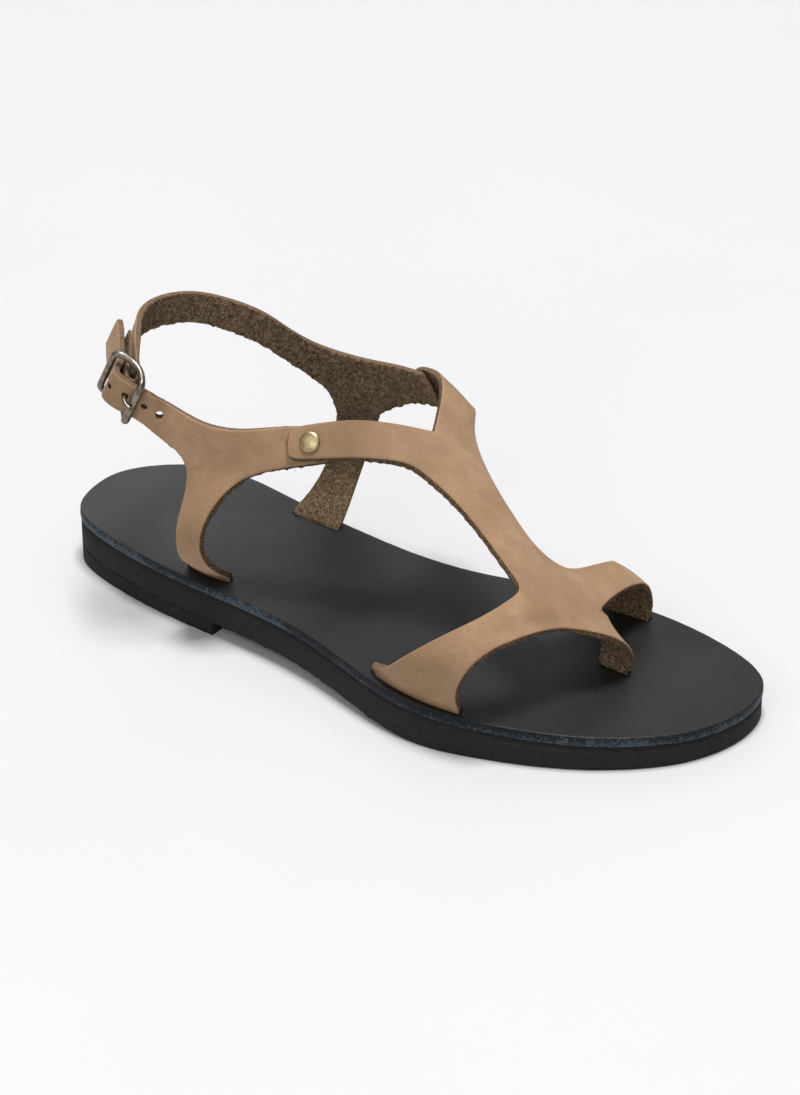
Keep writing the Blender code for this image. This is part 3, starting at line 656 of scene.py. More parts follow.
def fibres(name, rim, seed, material):
    """Fine tapered fibres that stand out of a strap's cut edge near its flesh side."""
    random = np.random.default_rng(seed)
    tip, foot, out, normal, after = rim
    ahead = foot[after] - foot
    step = np.linalg.norm(ahead, axis=1)
    upward = np.clip(out[:, 2], 0.0, 1.0)
    counts = random.poisson(step / FIBRE_STEP * (1.0 - 0.75 * upward))
    owner = np.repeat(np.arange(len(foot)), counts)
    n = len(owner)
    tip, foot, out, normal, ahead, step = (values[owner] for values in (tip, foot, out, normal, ahead, step))
    share = np.clip(random.exponential(0.16, n), 0.0, 0.9)[:, None]
    root = foot + ahead * random.random((n, 1))
    root += (tip - foot) * share - FIBRE_ROOT * out
    along = ahead / np.maximum(step, 1e-6)[:, None]
    way = out + 0.8 * random.normal(size=(n, 1)) * along
    way = unit(way - normal * random.normal(0.25, 0.5, (n, 1)))
    bend = 0.5 * random.normal(size=(n, 3))
    reach = random.gamma(2.2, 0.15, (n, 1)) + FIBRE_ROOT
    thick = random.uniform(0.03, 0.065, (n, 1))
    first = unit(np.cross(way, along + 0.3 * normal))
    second = np.cross(way, first)
    rings = []
    for part, width in ((0.0, 1.0), (0.55, 0.8)):
        centre = root + reach * part * (way + bend * part)
        for turn in 2 * np.pi * np.arange(FIBRE_SIDES) / FIBRE_SIDES:
            rings.append(centre + thick * width * (np.cos(turn) * first + np.sin(turn) * second))
    rings.append(root + reach * (way + bend))
    points = np.stack(rings, axis=1).reshape(-1, 3)
    base = [[2, 1, 0]]
    for k in range(FIBRE_SIDES):
        j = (k + 1) % FIBRE_SIDES
        base.append([k, j, FIBRE_SIDES + j, FIBRE_SIDES + k])
        base.append([FIBRE_SIDES + k, FIBRE_SIDES + j, 2 * FIBRE_SIDES])
    faces = [[len(rings) * i + c for c in face] for i in range(n) for face in base]
    return mesh_object(name, points, faces, [material])


# Places at the buckle
def buckle_directions():
    """Directions of the buckle: along the strap to its tip, across upwards, and out from the ankle."""
    along = direction(BUCKLE_HEADING, BUCKLE_RISE)
    lean = np.radians(BUCKLE_LEAN)
    up = np.array([0.0, np.sin(lean), np.cos(lean)])
    across = unit(up - np.dot(up, along) * along)
    return along, across, np.cross(across, along)


BUCKLE_ALONG, BUCKLE_ACROSS, BUCKLE_OUT = buckle_directions()
ACROSS_HEADING = np.degrees(np.arctan2(BUCKLE_ACROSS[1], BUCKLE_ACROSS[0]))
ACROSS_RISE = np.degrees(np.arcsin(BUCKLE_ACROSS[2]))
SWING = np.radians(FOLD_SWING)
FOLD_BACK = np.cos(SWING) * BUCKLE_ALONG - np.sin(SWING) * BUCKLE_OUT
FOLD_OFF = np.sin(SWING) * BUCKLE_ALONG + np.cos(SWING) * BUCKLE_OUT


def at_buckle(along, out, across=0.0):
    return np.array(BUCKLE_CENTRE) + along * BUCKLE_ALONG + out * BUCKLE_OUT + across * BUCKLE_ACROSS


def at_fold(back, off):
    return np.array(BUCKLE_CENTRE) + back * FOLD_BACK + off * FOLD_OFF


def level_rows(run, place):
    """Strap sections across the buckle, from a run of two distances and a width."""
    return [(*place(a, b), width, ACROSS_HEADING, ACROSS_RISE, 0.0) for a, b, width in run]


# Curl at the rear corner of the outer toe arm: its middle, its reach and how far it bends
CURL_PLACE = (147.2, -43.6, 19.2)
CURL_REACH = 6.0
CURL_BEND = (-4.4, 2.0, -0.2)


def curled(sheet):
    """Sheet with the curl bent into it."""
    points, quads, normals, thick = sheet
    share = np.clip(1 - np.linalg.norm(points - CURL_PLACE, axis=1) / CURL_REACH, 0.0, 1.0) ** 2
    points = points + share[:, None] * np.array(CURL_BEND)
    a, b, c, d = (points[quads[:, k]] for k in range(4))
    normals = np.zeros_like(points)
    for k in range(4):
        np.add.at(normals, quads[:, k], np.cross(c - a, d - b))
    return points, quads, unit(normals), thick


def vamp_sheet():
    cage = Cage()
    bar = cage.rows(strap_points(T_BAR + TOE_CROSS, VAMP_COLUMNS, 1))
    cage.strip(bar, 1)
    cross = bar[len(T_BAR):]
    middle = TOE_CROSS[1][:3]
    cage.branch(cross[-1], TOE_POST + slot_rows(TOE_POST_SLOT), 1, TOE_CROSS[-1][:3])
    cage.branch([row[0] for row in cross], OUTER_TOE_ARM + slot_rows(OUTER_TOE_SLOT), 1, middle)
    cage.branch([row[-1] for row in cross], INNER_TOE_ARM + slot_rows(INNER_TOE_SLOT), -1, middle)
    cage.branch(bar[0][:ARM_COLUMNS], OUTER_ARM, -1, T_BAR[0][:3])
    cage.branch(bar[0][-ARM_COLUMNS:], INNER_ARM, -1, T_BAR[0][:3])
    crotch = bar[0][VAMP_COLUMNS // 2]
    crotch.co = CROTCH
    crotch[cage.crease] = 1.0
    cross[0][0][cage.crease] = TOE_CORNER
    return curled(cage.smooth("ALL"))


def quarter_sheet(band, full, leg, side):
    """Sheet of a quarter: its band, skived behind the full rows, and the leg that hangs from it."""
    cage = Cage()
    points = strap_points(band, ARM_COLUMNS, side)
    rows = cage.rows(points[:full]) + cage.rows(points[full:], SKIVED)
    cage.strip(rows, side)
    cage.branch([rows[i][0] for i in LEG_ROWS], leg, side, band[LEG_ROWS[1]][:3])
    return cage.smooth("PRESERVE_CORNERS")


def slot_cutter(free, slot, columns, side, flesh_depth, grain_depth):
    """Cutter for a slot: the strap's own lower end, made wider and thicker, down through the insole."""
    levels = (2 * SLOT_LEAD, *SLOT_LEVELS, -2 * INSOLE_THICK)
    rows = [(x, y, z, width + 2 * SLOT_CLEAR, *rest) for x, y, z, width, *rest in slot_rows(slot, levels)]
    cage = Cage()
    cage.strip(cage.rows(strap_points(rows, columns, side, free[-1][:3])), side)
    points, quads, normals, thick = cage.smooth("PRESERVE_CORNERS", SLOT_SMOOTHING)
    top = points + normals * (grain_depth + SLOT_CLEAR)
    bottom = points - normals * (flesh_depth + SLOT_CLEAR)
    n = len(points)
    faces = quads.tolist() + (quads[:, ::-1] + n).tolist()
    faces += [[a, a + n, b + n, b] for a, b in border(quads).tolist()]
    return mesh_object("slot", np.concatenate([top, bottom]), faces)


# Sole layers
SOLE_STEPS = 210
CELLS = 36


def slab(name, rings, materials, picks, shape, last=np.pi):
    """Closed layer of the sole from rings of (inset, height function), from the top face to the bottom face.

    Picks gives a material for the top, each band and the bottom. Shape is a function that roughens points.
    The layer runs from the heel to the angle last.
    """
    angles = np.linspace(0.0, last, SOLE_STEPS + 1)
    shares = np.linspace(0, 1, CELLS + 1)[None, :, None]
    pointed = last == np.pi
    points, faces, chosen = [], [], []

    def plan(inset):
        """Rows of places across the layer, from the outer to the inner edge."""
        outer = edge_points(2 * np.pi - angles, inset)[:, None]
        return outer * (1 - shares) + edge_points(angles, inset)[:, None] * shares

    def around(rows):
        """Border of rows across the layer."""
        return np.concatenate([rows[:-1, 0], rows[-1:, 0] if pointed else rows[-1], rows[-2:0:-1, -1]])

    def number(places, height):
        """Numbers of new points at a height."""
        first = len(points)
        points.extend((x, y, float(height(x))) for x, y in places)
        return np.arange(first, len(points))

    def lid(ring, upward, pick):
        """Face over the whole layer, and its border."""
        rows = plan(ring[0])
        tips = (0, SOLE_STEPS) if pointed else (0,)
        index = np.zeros(rows.shape[:2], np.int64)
        for i, row in enumerate(rows):
            index[i] = number(row[:1] if i in tips else row, ring[1])
        corners = np.stack([index[:-1, :-1], index[1:, :-1], index[1:, 1:], index[:-1, 1:]], axis=-1)
        for quad in corners.reshape(-1, 4).tolist():
            faces.append(list(dict.fromkeys(quad))[::1 if upward else -1])
            chosen.append(pick)
        return around(index)

    loops = [lid(rings[0], True, picks[0])]
    loops += [number(around(plan(inset)), height) for inset, height in rings[1:-1]]
    loops += [lid(rings[-1], False, picks[-1])]
    for pick, a, b in zip(picks[1:-1], loops[:-1], loops[1:]):
        faces += np.stack([a, b, np.roll(b, -1), np.roll(a, -1)], axis=1).tolist()
        chosen += [pick] * len(a)
    return mesh_object(name, shape(np.array(points)), faces, materials, chosen)


def arc_rings(radius, inset, level, steps, side):
    """Rings round an edge of a radius. Side is 1 at the top face and -1 at the bottom face."""
    return [(inset + radius * (1 - np.sin(a)), lambda x, a=a: level(x) - side * radius * (1 - np.cos(a)))
            for a in np.linspace(0, np.pi / 2, steps)[::side]]


# Turned pieces and bars
ROUND_SIDES = 64
BAR_SIDES = 14
BAR_ENDS = (20, 45, 75)
CORNER_STEPS = 8
SIDE_STEPS = 12


def frame_at(place, way):
    """Placing matrix with its Z along a direction, from a place in millimetres."""
    return Matrix.Translation(world(place)) @ Vector(way).to_track_quat("Z", "Y").to_matrix().to_4x4()


def turned(name, profile, place, way, materials, second, dent):
    """Closed body turned round a direction, from a profile of radius and height listed top to bottom.

    The second material starts at the profile point with the number second.
    """
    turns = np.linspace(0, 2 * np.pi, ROUND_SIDES, endpoint=False)
    points, rings = [], []
    for radius, height in profile:
        sides = turns if radius else turns[:1]
        rings.append(np.broadcast_to(len(points) + np.arange(len(sides)), ROUND_SIDES).tolist())
        points += [(radius * np.cos(a), radius * np.sin(a), height) for a in sides]
    points = np.array(points)
    points[:, 2] += dent * field(points, 1.6, 41)
    faces, picks = [], []
    for k, (a, b) in enumerate(zip(rings[:-1], rings[1:])):
        for i in range(ROUND_SIDES):
            j = (i + 1) % ROUND_SIDES
            faces.append(list(dict.fromkeys((a[i], b[i], b[j], a[j]))))
            picks.append(int(k >= second))
    thing = mesh_object(name, points - PLACE, faces, materials, picks)
    thing.data.transform(frame_at(place, way))
    thing.data.set_sharp_from_angle(angle=np.radians(50))
    return thing


def bar(name, line, radius, closed, material):
    """Round bar along points in millimetres, closed to a ring or with rounded ends.

    Radius may be a number for each point.
    """
    line = np.asarray(line, float)
    n = len(line)
    radii = np.broadcast_to(np.asarray(radius, float), n)
    along = np.roll(line, -1, axis=0) - np.roll(line, 1, axis=0) if closed else np.gradient(line, axis=0)
    along = unit(along)
    sideways = [unit(np.cross(along[0], (0.31, 0.87, 0.39)))]
    for way in along[1:]:
        sideways.append(unit(sideways[-1] - np.dot(sideways[-1], way) * way))
    sideways = np.array(sideways)
    upward = np.cross(along, sideways)
    rings = [(line[i], sideways[i], upward[i], radii[i]) for i in range(n)]
    if closed:
        twist = np.arctan2(np.dot(sideways[-1], upward[0]), np.dot(sideways[-1], sideways[0]))
        for i in range(n):
            turn = -twist * i / (n - 1)
            u = np.cos(turn) * sideways[i] + np.sin(turn) * upward[i]
            rings[i] = (line[i], u, np.cross(along[i], u), radii[i])
    else:
        for t in np.radians(BAR_ENDS):
            ahead, r = along * (radii * np.sin(t))[:, None], radii * np.cos(t)
            rings.insert(0, (line[0] - ahead[0], sideways[0], upward[0], r[0]))
            rings.append((line[-1] + ahead[-1], sideways[-1], upward[-1], r[-1]))
    turns = np.linspace(0, 2 * np.pi, BAR_SIDES, endpoint=False)[:, None]
    points = [centre + r * (np.cos(turns) * u + np.sin(turns) * v) for centre, u, v, r in rings]
    index = np.arange(len(rings) * BAR_SIDES).reshape(-1, BAR_SIDES)
    faces = []
    for a, b in zip(index, np.roll(index, -1, axis=0) if closed else index[1:]):
        faces += np.stack([a, np.roll(a, -1), np.roll(b, -1), b], axis=1).tolist()
    if not closed:
        faces += [index[0, ::-1].tolist(), index[-1].tolist()]
    return mesh_object(name, np.concatenate(points), faces, [material])


def rounded(line, steps):
    """Smooth open curve through points, with steps between each pair."""
    p = np.asarray(line, float)
    padded = np.concatenate([[2 * p[0] - p[1]], p, [2 * p[-1] - p[-2]]])
    made = []
    for i in range(len(p) - 1):
        a, b, c, d = padded[i:i + 4]
        for t in np.linspace(0, 1, steps, endpoint=False):
            made.append(0.5 * (2 * b + (c - a) * t + (2 * a - 5 * b + 4 * c - d) * t ** 2
                               + (3 * b - a - 3 * c + d) * t ** 3))
    made.append(p[-1])
    return np.array(made)


def frame_line():
    """Rounded rectangle of the buckle, bowed so that its end bars stand above the centre bar."""
    long, wide = BUCKLE_LONG / 2, BUCKLE_WIDE / 2
    plan = []
    for along, across, first in ((1, 1, 0), (-1, 1, 90), (-1, -1, 180), (1, -1, 270)):
        middle = (along * (long - BUCKLE_CORNER), across * (wide - BUCKLE_CORNER))
        for angle in np.radians(first + np.linspace(0, 90, CORNER_STEPS)):
            corner = BUCKLE_CORNER * np.cos(angle), BUCKLE_CORNER * np.sin(angle)
            plan.append((middle[0] + corner[0], middle[1] + corner[1]))
        for share in np.linspace(1, -1, SIDE_STEPS)[1:-1]:
            if along == across:
                plan.append((share * middle[0], across * wide))
            else:
                plan.append((along * long, share * middle[1]))
    return np.array([at_buckle(a, BUCKLE_BOW * (a / long) ** 2, b + BUCKLE_SHIFT) for a, b in plan])


def in_tables(hit, point, normal, face):
    """Point in millimetres and normal of a surface that was met."""
    return np.array(point) / MM - PLACE, np.array(normal)


def surface_hit(thing, place, way):
    """First point and normal of a surface met from a place along a direction."""
    return in_tables(*thing.ray_cast(world(place), Vector(way)))


def surface_near(thing, place):
    """Nearest point and normal of a surface."""
    return in_tables(*thing.closest_point_on_mesh(world(place)))


def pin(place, way, radius, length):
    """Round cutter centred on a place."""
    bm = bmesh.new()
    bmesh.ops.create_cone(bm, cap_ends=True, segments=32, radius1=radius * MM, radius2=radius * MM,
                          depth=length * MM, matrix=frame_at(place, way))
    return from_bmesh("pin", bm)


def block(place, size, axes):
    """Box cutter centred on a place, with its sides along three directions."""
    bm = bmesh.new()
    turn = Matrix([list(axis) for axis in axes]).transposed().to_4x4()
    stretch = Matrix.Diagonal((*(side * MM for side in size), 1.0))
    bmesh.ops.create_cube(bm, size=1.0, matrix=Matrix.Translation(world(place)) @ turn @ stretch)
    bmesh.ops.recalc_face_normals(bm, faces=bm.faces)
    return from_bmesh("block", bm)


# Materials
class Look:
    """Node material with a Principled shader and short ways to add textures."""

    def __init__(self, name, colour, roughness, metallic=0.0, specular=0.5):
        self.material = bpy.data.materials.new(name)
        self.material.use_nodes = True
        self.tree = self.material.node_tree
        self.shader = self.tree.nodes["Principled BSDF"]
        self.set("Base Color", (*colour, 1.0))
        self.set("Roughness", roughness)
        self.set("Metallic", metallic)
        self.set("Specular IOR Level", specular)
        self.place = self.tree.nodes.new("ShaderNodeTexCoord").outputs["Object"]

    def set(self, name, value):
        self.shader.inputs[name].default_value = value

    def link(self, output, name):
        self.tree.links.new(output, self.shader.inputs[name])

    def node(self, kind, inputs=None, **settings):
        made = self.tree.nodes.new(kind)
        for key, value in settings.items():
            setattr(made, key, value)
        for key, value in (inputs or {}).items():
            socket = made.inputs[key]
            if isinstance(value, bpy.types.NodeSocket):
                self.tree.links.new(value, socket)
            else:
                socket.default_value = value
        return made

    def along(self):
        """Distance to the toes from the middle of the sandal."""
        return self.node("ShaderNodeSeparateXYZ", {"Vector": self.place}).outputs["X"]

    def noted(self, name):
        """Value kept on the mesh."""
        return self.node("ShaderNodeAttribute", attribute_name=name).outputs["Fac"]

    def noise(self, size_mm, detail=3.0, rough=0.5, distort=0.0, stretch=None):
        """Noise from 0 to 1 with features of a size."""
        vector = self.place
        if stretch is not None:
            vector = self.node("ShaderNodeMapping", {"Vector": vector, "Scale": stretch}).outputs["Vector"]
        inputs = {"Vector": vector, "Scale": 1.0 / (size_mm * MM), "Detail": detail, "Roughness": rough,
                  "Distortion": distort}
        return self.node("ShaderNodeTexNoise", inputs).outputs["Fac"]

    def ramp(self, value, low, high, to_low=0.0, to_high=1.0):
        """Smooth step of a value from one range to another."""
        inputs = {"Value": value, "From Min": low, "From Max": high, "To Min": to_low, "To Max": to_high}
        return self.node("ShaderNodeMapRange", inputs, interpolation_type="SMOOTHSTEP").outputs["Result"]

    def sum(self, a, b, operation="ADD"):
        return self.node("ShaderNodeMath", {0: a, 1: b}, operation=operation).outputs[0]

    def mix(self, share, a, b):
        """Mix of two colours."""
        a, b = ((*colour, 1.0) if isinstance(colour, tuple) else colour for colour in (a, b))
        return self.node("ShaderNodeMix", {0: share, 6: a, 7: b}, data_type="RGBA").outputs[2]

    def layers(self, tone, *layers):
        """Tone with colours laid over it, each by a noise and a ramp."""
        for noise, ramp, colour in layers:
            tone = self.mix(self.ramp(self.noise(*noise), *ramp), tone, colour)
        return tone

    def colour(self, tone):
        self.link(tone, "Base Color")

    def roughness(self, noise, low, high):
        self.link(self.ramp(self.noise(*noise), 0.3, 0.7, low, high), "Roughness")

    def bumps(self, *bumps):
        """Bumps over one another, the finest first: height or noise, depth in millimetres and strength."""
        inputs = {}
        for height, depth, strength in bumps:
            if isinstance(height, tuple):
                height = self.noise(*height)
            inputs.update({"Height": height, "Distance": depth * MM, "Strength": strength})
            inputs["Normal"] = self.node("ShaderNodeBump", inputs).outputs["Normal"]
        self.link(inputs["Normal"], "Normal")

    def sheen(self, weight, roughness, tint):
        self.set("Sheen Weight", weight)
        self.set("Sheen Roughness", roughness)
        self.set("Sheen Tint", (*tint, 1.0))


def nubuck():
    look = Look("nubuck grain", (0.34, 0.21, 0.125), 0.88, specular=0.15)
    tone = look.layers(
        (0.30, 0.19, 0.11),
        ((20, 3), (0.34, 0.66), (0.385, 0.248, 0.151)),
        ((7, 4, 0.6), (0.42, 0.64, 0.0, 0.45), (0.272, 0.160, 0.092)),
        ((2.2, 4, 0.65), (0.42, 0.7, 0.0, 0.35), (0.29, 0.19, 0.105)),
        ((0.7, 3, 0.65), (0.42, 0.7, 0.0, 0.4), (0.235, 0.14, 0.078)),
        ((0.55, 2, 0.6), (0.56, 0.76, 0.0, 0.35), (0.50, 0.35, 0.23)),
    )
    # Painted shade: the tone turns darker where the leather holds painted shade
    look.colour(look.mix(look.noted("shade"), tone, (0.15, 0.092, 0.052)))
    look.roughness((3, 3), 0.8, 0.95)
    look.bumps(((0.4, 3, 0.65), 0.06, 0.6), ((2.2, 3, 0.55), 0.14, 0.4))
    look.sheen(0.15, 0.45, (0.9, 0.72, 0.55))
    return look.material


def flesh_side():
    look = Look("flesh side", (0.13, 0.085, 0.045), 0.95, specular=0.1)
    clumps = look.noise(1.3, 4, 0.7, 1.2)
    tone = look.layers(
        look.mix(look.ramp(clumps, 0.41, 0.59), (0.050, 0.032, 0.017), (0.185, 0.126, 0.073)),
        ((0.8, 2, 0.6, 1.5), (0.5, 0.62, 0.0, 0.7), (0.40, 0.28, 0.175)),
        ((0.85, 2, 0.6, 1.0), (0.54, 0.64, 0.0, 0.6), (0.034, 0.021, 0.011)),
    )
    # Painted shade: the flesh side turns darker where the leather holds painted shade
    look.colour(look.mix(look.noted("shade"), tone, (0.03, 0.019, 0.01)))
    look.bumps(((0.35, 3, 0.7), 0.15, 0.9), (clumps, 0.55, 1.0))
    look.sheen(0.1, 0.6, (0.8, 0.62, 0.42))
    return look.material


def cut_edge():
    look = Look("cut edge", (0.11, 0.07, 0.042), 0.92, specular=0.12)
    strands = look.noise(0.7, 4, 0.7, 0.6)
    shade = look.ramp(strands, 0.38, 0.64)
    painted_shade_tone = look.mix(shade, (0.045, 0.027, 0.015), (0.15, 0.098, 0.058))
    painted_shade_tone = look.layers(painted_shade_tone, ((0.5, 2), (0.58, 0.76, 0.0, 0.5), (0.30, 0.215, 0.14)))
    pale = look.mix(shade, (0.13, 0.083, 0.05), (0.235, 0.155, 0.096))
    # Painted shade: cut edges that do not face up take the darker tone, those that face up the paler one
    look.colour(look.mix(look.ramp(look.noted("upward"), 0.45, 0.85), painted_shade_tone, pale))
    look.bumps((strands, 0.25, 0.9))
    return look.material


def insole_top():
    look = Look("insole top", (0.014, 0.014, 0.0145), 0.46, specular=0.28)
    # Painted sheen: the footbed turns lighter towards the heel, with random lighter patches laid over it
    heel = look.ramp(look.along(), -0.115, -0.03, 0.8, 0.0)
    heel_sheen_and_patches = look.sum(heel, look.ramp(look.noise(30, 3), 0.3, 0.7, 0.0, 0.2))
    tone = look.mix(heel_sheen_and_patches, (0.010, 0.010, 0.0105), (0.042, 0.042, 0.043))
    look.colour(look.layers(tone, ((0.5, 2, 0.6), (0.6, 0.8, 0.0, 0.4), (0.03, 0.03, 0.031))))
    look.roughness((9, 4, 0.6), 0.44, 0.48)
    look.bumps(((0.5, 3, 0.6), 0.05, 0.5), ((4, 3, 0.5), 0.12, 0.3))
    return look.material


def insole_edge():
    look = Look("insole edge", (0.02, 0.027, 0.036), 0.55, specular=0.16)
    ends = look.ramp(look.sum(look.sum(look.along(), -0.03), 2.0, "POWER"), 0.0003, 0.004, -0.07, 0.06)
    patch = look.sum(ends, look.ramp(look.noise(22, 3, 0.6), 0.35, 0.65, -0.05, 0.05))
    low = look.ramp(look.noted("level"), 0.1, 0.95, 0.1, 0.0)
    fleck = look.sum(look.sum(look.noise(0.8, 4, 0.75, 0.8), low), patch)
    look.colour(look.mix(look.ramp(fleck, 0.54, 0.72), (0.006, 0.0085, 0.0115), (0.06, 0.084, 0.106)))
    look.roughness((1.5, 3), 0.45, 0.65)
    look.bumps(((0.8, 4, 0.7, 0.6), 0.2, 0.8))
    return look.material


def sole_rubber():
    look = Look("sole rubber", (0.011, 0.011, 0.012), 0.8, specular=0.25)
    look.colour(look.layers(
        (0.013, 0.013, 0.0135),
        ((0.45, 3, 0.75), (0.54, 0.76, 0.0, 0.8), (0.058, 0.058, 0.059)),
        ((0.9, 3, 0.65, 0.4, (0.1, 0.1, 1.8)), (0.62, 0.76, 0.0, 0.55), (0.085, 0.085, 0.086)),
    ))
    look.bumps(((0.3, 3, 0.75), 0.12, 0.8), ((3, 3, 0.5), 0.15, 0.3))
    return look.material


def brass():
    look = Look("brass", (0.64, 0.5, 0.25), 0.34, 1.0)
    look.colour(look.layers((0.39, 0.305, 0.155), ((1.5, 3), (0.3, 0.7), (0.53, 0.43, 0.245))))
    look.roughness((0.8, 3), 0.32, 0.44)
    look.bumps(((1.0, 3), 0.04, 0.4))
    return look.material


def nickel():
    look = Look("antique nickel", (0.31, 0.28, 0.235), 0.32, 1.0)
    look.colour(look.layers((0.15, 0.13, 0.102), ((2.4, 3, 0.5), (0.35, 0.68), (0.27, 0.245, 0.205))))
    look.roughness((1.2, 3), 0.27, 0.4)
    look.bumps(((0.8, 3), 0.04, 0.4))
    return look.material


NUBUCK = nubuck()
CUT_EDGE = cut_edge()
FLESH = flesh_side()
LEATHERS = (NUBUCK, CUT_EDGE, FLESH)
FIBRE = Look("loose fibre", (0.17, 0.115, 0.07), 0.9, specular=0.1).material
INSOLE_TOP = insole_top()
INSOLE_EDGE = insole_edge()
RUBBER = sole_rubber()
BRASS = brass()
DULL_BRASS = Look("dull brass", (0.07, 0.05, 0.03), 0.7, 0.5).material
NICKEL = nickel()

# Creases of the vamp; troughs have a negative height
# Columns: start, end, half width, height
CREASES = [
    ((188.5, -15.5, 42.6), (191.5, -8.5, 41.4), 0.7, -0.2),
    ((189.8, -13, 42), (192.6, -6.5, 40.8), 0.6, -0.16),
    ((187, -12, 43.6), (189.8, -5, 42.4), 0.6, -0.14),
    ((176, -6, 51), (181, 6, 45), 2.2, -0.15),
    ((181, -36, 44), (190, -33, 42), 3, -0.3),
    ((134, 4, 71), (136, 24, 66), 3, -0.25),
    ((139, 4, 68), (141, 20, 64), 2.5, 0.15),
]


def soft_waves(points):
    return 0.15 * cloud(points, 22.0, 2, 3)


def creased(points):
    """Soft waves with the creases laid over them."""
    made = soft_waves(points)
    for start, end, width, height in CREASES:
        run = np.subtract(end, start)
        share = np.clip((points - start) @ run / (run @ run), 0.0, 1.0)
        off = np.linalg.norm(points - start - share[:, None] * run, axis=1)
        made += height * np.exp(-(off / width) ** 2)
    return made


# Vamp and quarters
outer_run = OUTER_BAND + level_rows(BUCKLE_RUN, at_buckle)
inner_run = INNER_BAND + level_rows(FOLD_RUN, at_fold)
full = len(INNER_BAND) + FULL_FOLD_ROWS
outer_sheet = quarter_sheet(outer_run, len(outer_run), OUTER_LEG + slot_rows(OUTER_LEG_SLOT), -1)
inner_sheet = quarter_sheet(inner_run, full, INNER_LEG + slot_rows(INNER_LEG_SLOT), 1)
vamp, vamp_rim = leather("vamp_leather", vamp_sheet(), 0.0, LEATHER, creased, LEATHERS)
outer, outer_rim = leather("outer_quarter_leather", outer_sheet, 0.0, LEATHER, soft_waves, LEATHERS)
inner, inner_rim = leather("inner_quarter_leather", inner_sheet, LEATHER, 0.0, soft_waves, LEATHERS)
vamp_fuzz = fibres("vamp_fibres", vamp_rim, 5, FIBRE)
outer_fuzz = fibres("outer_quarter_fibres", outer_rim, 6, FIBRE)
inner_fuzz = fibres("inner_quarter_fibres", inner_rim, 7, FIBRE)

# Rivets through the straps
CAP_SEAT = 0.05
CAP_HEIGHT = 1.5
FOLD_CAP_HEIGHT = 1.1
CAP_DENT = 0.03


def rivet(name, outside, inside, radius, height, materials):
    """Domed cap on the outside with a rolled edge, and a smaller flat cap on the inside."""
    back = -float(np.linalg.norm(outside - inside)) - CAP_SEAT
    turns = np.linspace(0, 1.45, 14)
    dome = [(radius * np.sin(a), CAP_SEAT + height * (0.35 + 0.65 * np.cos(a) ** 0.8)) for a in turns]
    under = CAP_SEAT - 0.1
    edge = [(radius, CAP_SEAT + 0.2 * height), (0.97 * radius, under), (0.4 * radius, under)]
    button = [(0.4, 0.1), (0.66, 0.1), (0.7, -0.2), (0.58, -0.45), (0.0, -0.5)]
    profile = dome + edge + [(share * radius, back + step) for share, step in button]
    return turned(name, profile, outside, outside - inside, materials, len(dome + edge), CAP_DENT)


def strap_rivet(name, under, near, materials):
    """Rivet through the vamp and a quarter under it."""
    outside, normal = surface_near(vamp, near)
    inside, back = surface_hit(under, outside - REACH * normal, normal)
    return rivet(name, outside, inside, CAP_RADIUS, CAP_HEIGHT, materials)


outer_rivet = strap_rivet("outer_rivet_brass", outer, OUTER_RIVET, (BRASS, DULL_BRASS))
inner_rivet = strap_rivet("inner_rivet_brass", inner, INNER_RIVET, (BRASS, FLESH))
fold_out, _ = surface_hit(inner, at_fold(FOLD_RIVET_BACK, REACH), -FOLD_OFF)
fold_in, _ = surface_hit(inner, at_fold(FOLD_RIVET_BACK, -REACH), FOLD_OFF)
fold_rivet = rivet("fold_rivet_nickel", fold_out, fold_in, FOLD_CAP_RADIUS, FOLD_CAP_HEIGHT, (NICKEL, NICKEL))

# Buckle
FRONT_BAR_TAPER = 1.5

outline = frame_line()
forward = (outline - np.array(BUCKLE_CENTRE)) @ BUCKLE_ALONG + BUCKLE_LONG / 2
bar_radii = np.interp(forward, (0.0, FRONT_BAR_TAPER), (FRONT_BAR_RADIUS, BAR_RADIUS))
buckle = bar("buckle_frame_nickel", outline, bar_radii, True, NICKEL)
spans = BUCKLE_SHIFT + BUCKLE_WIDE / 2 * np.linspace(-0.98, 0.98, 6)
centre = bar("centre_bar", [at_buckle(0.0, 0.0, s) for s in spans], CENTRE_BAR_RADIUS, False, NICKEL)
ring = CENTRE_BAR_RADIUS + GAP + PRONG_RADIUS
ring_line = [(ring * np.cos(a), ring * np.sin(a)) for a in np.radians(np.linspace(RING_FROM, RING_TO, 15))]
prong_line = rounded([at_buckle(a, b, PRONG_ACROSS) for a, b in ring_line + PRONG_RUN], 4)
prong = bar("buckle_prong_nickel", prong_line, PRONG_RADIUS, False, NICKEL)

# Holes in the strap, and the slit in the fold
PRONG_CLEAR = 0.45

holes = []
for along, out, across, radius in STRAP_HOLES:
    place, normal = surface_near(outer, at_buckle(along, out, across))
    holes.append(pin(place, normal, radius, REACH))
holes.append(bar("prong_hole", prong_line, PRONG_RADIUS + PRONG_CLEAR, False, CUT_EDGE))
cut(outer, holes, CUT_EDGE)
slit = block(at_fold(SLIT_MIDDLE, 0.0) + PRONG_ACROSS * BUCKLE_ACROSS, (SLIT_LONG, REACH, SLIT_WIDE),
             (FOLD_BACK, FOLD_OFF, BUCKLE_ACROSS))
cut(inner, [slit], CUT_EDGE)

# Sole: rounding of its edges, roughness of the upright faces and depth of the torn edge
EDGE_ROUND = 0.5
EDGE_ROUGH = 0.08
TORN = 0.5
TORN_BAND = 0.6
HEEL_INSET = OUTSOLE_INSET + 0.05


def insole_bottom(x):
    return footbed(x) - INSOLE_THICK


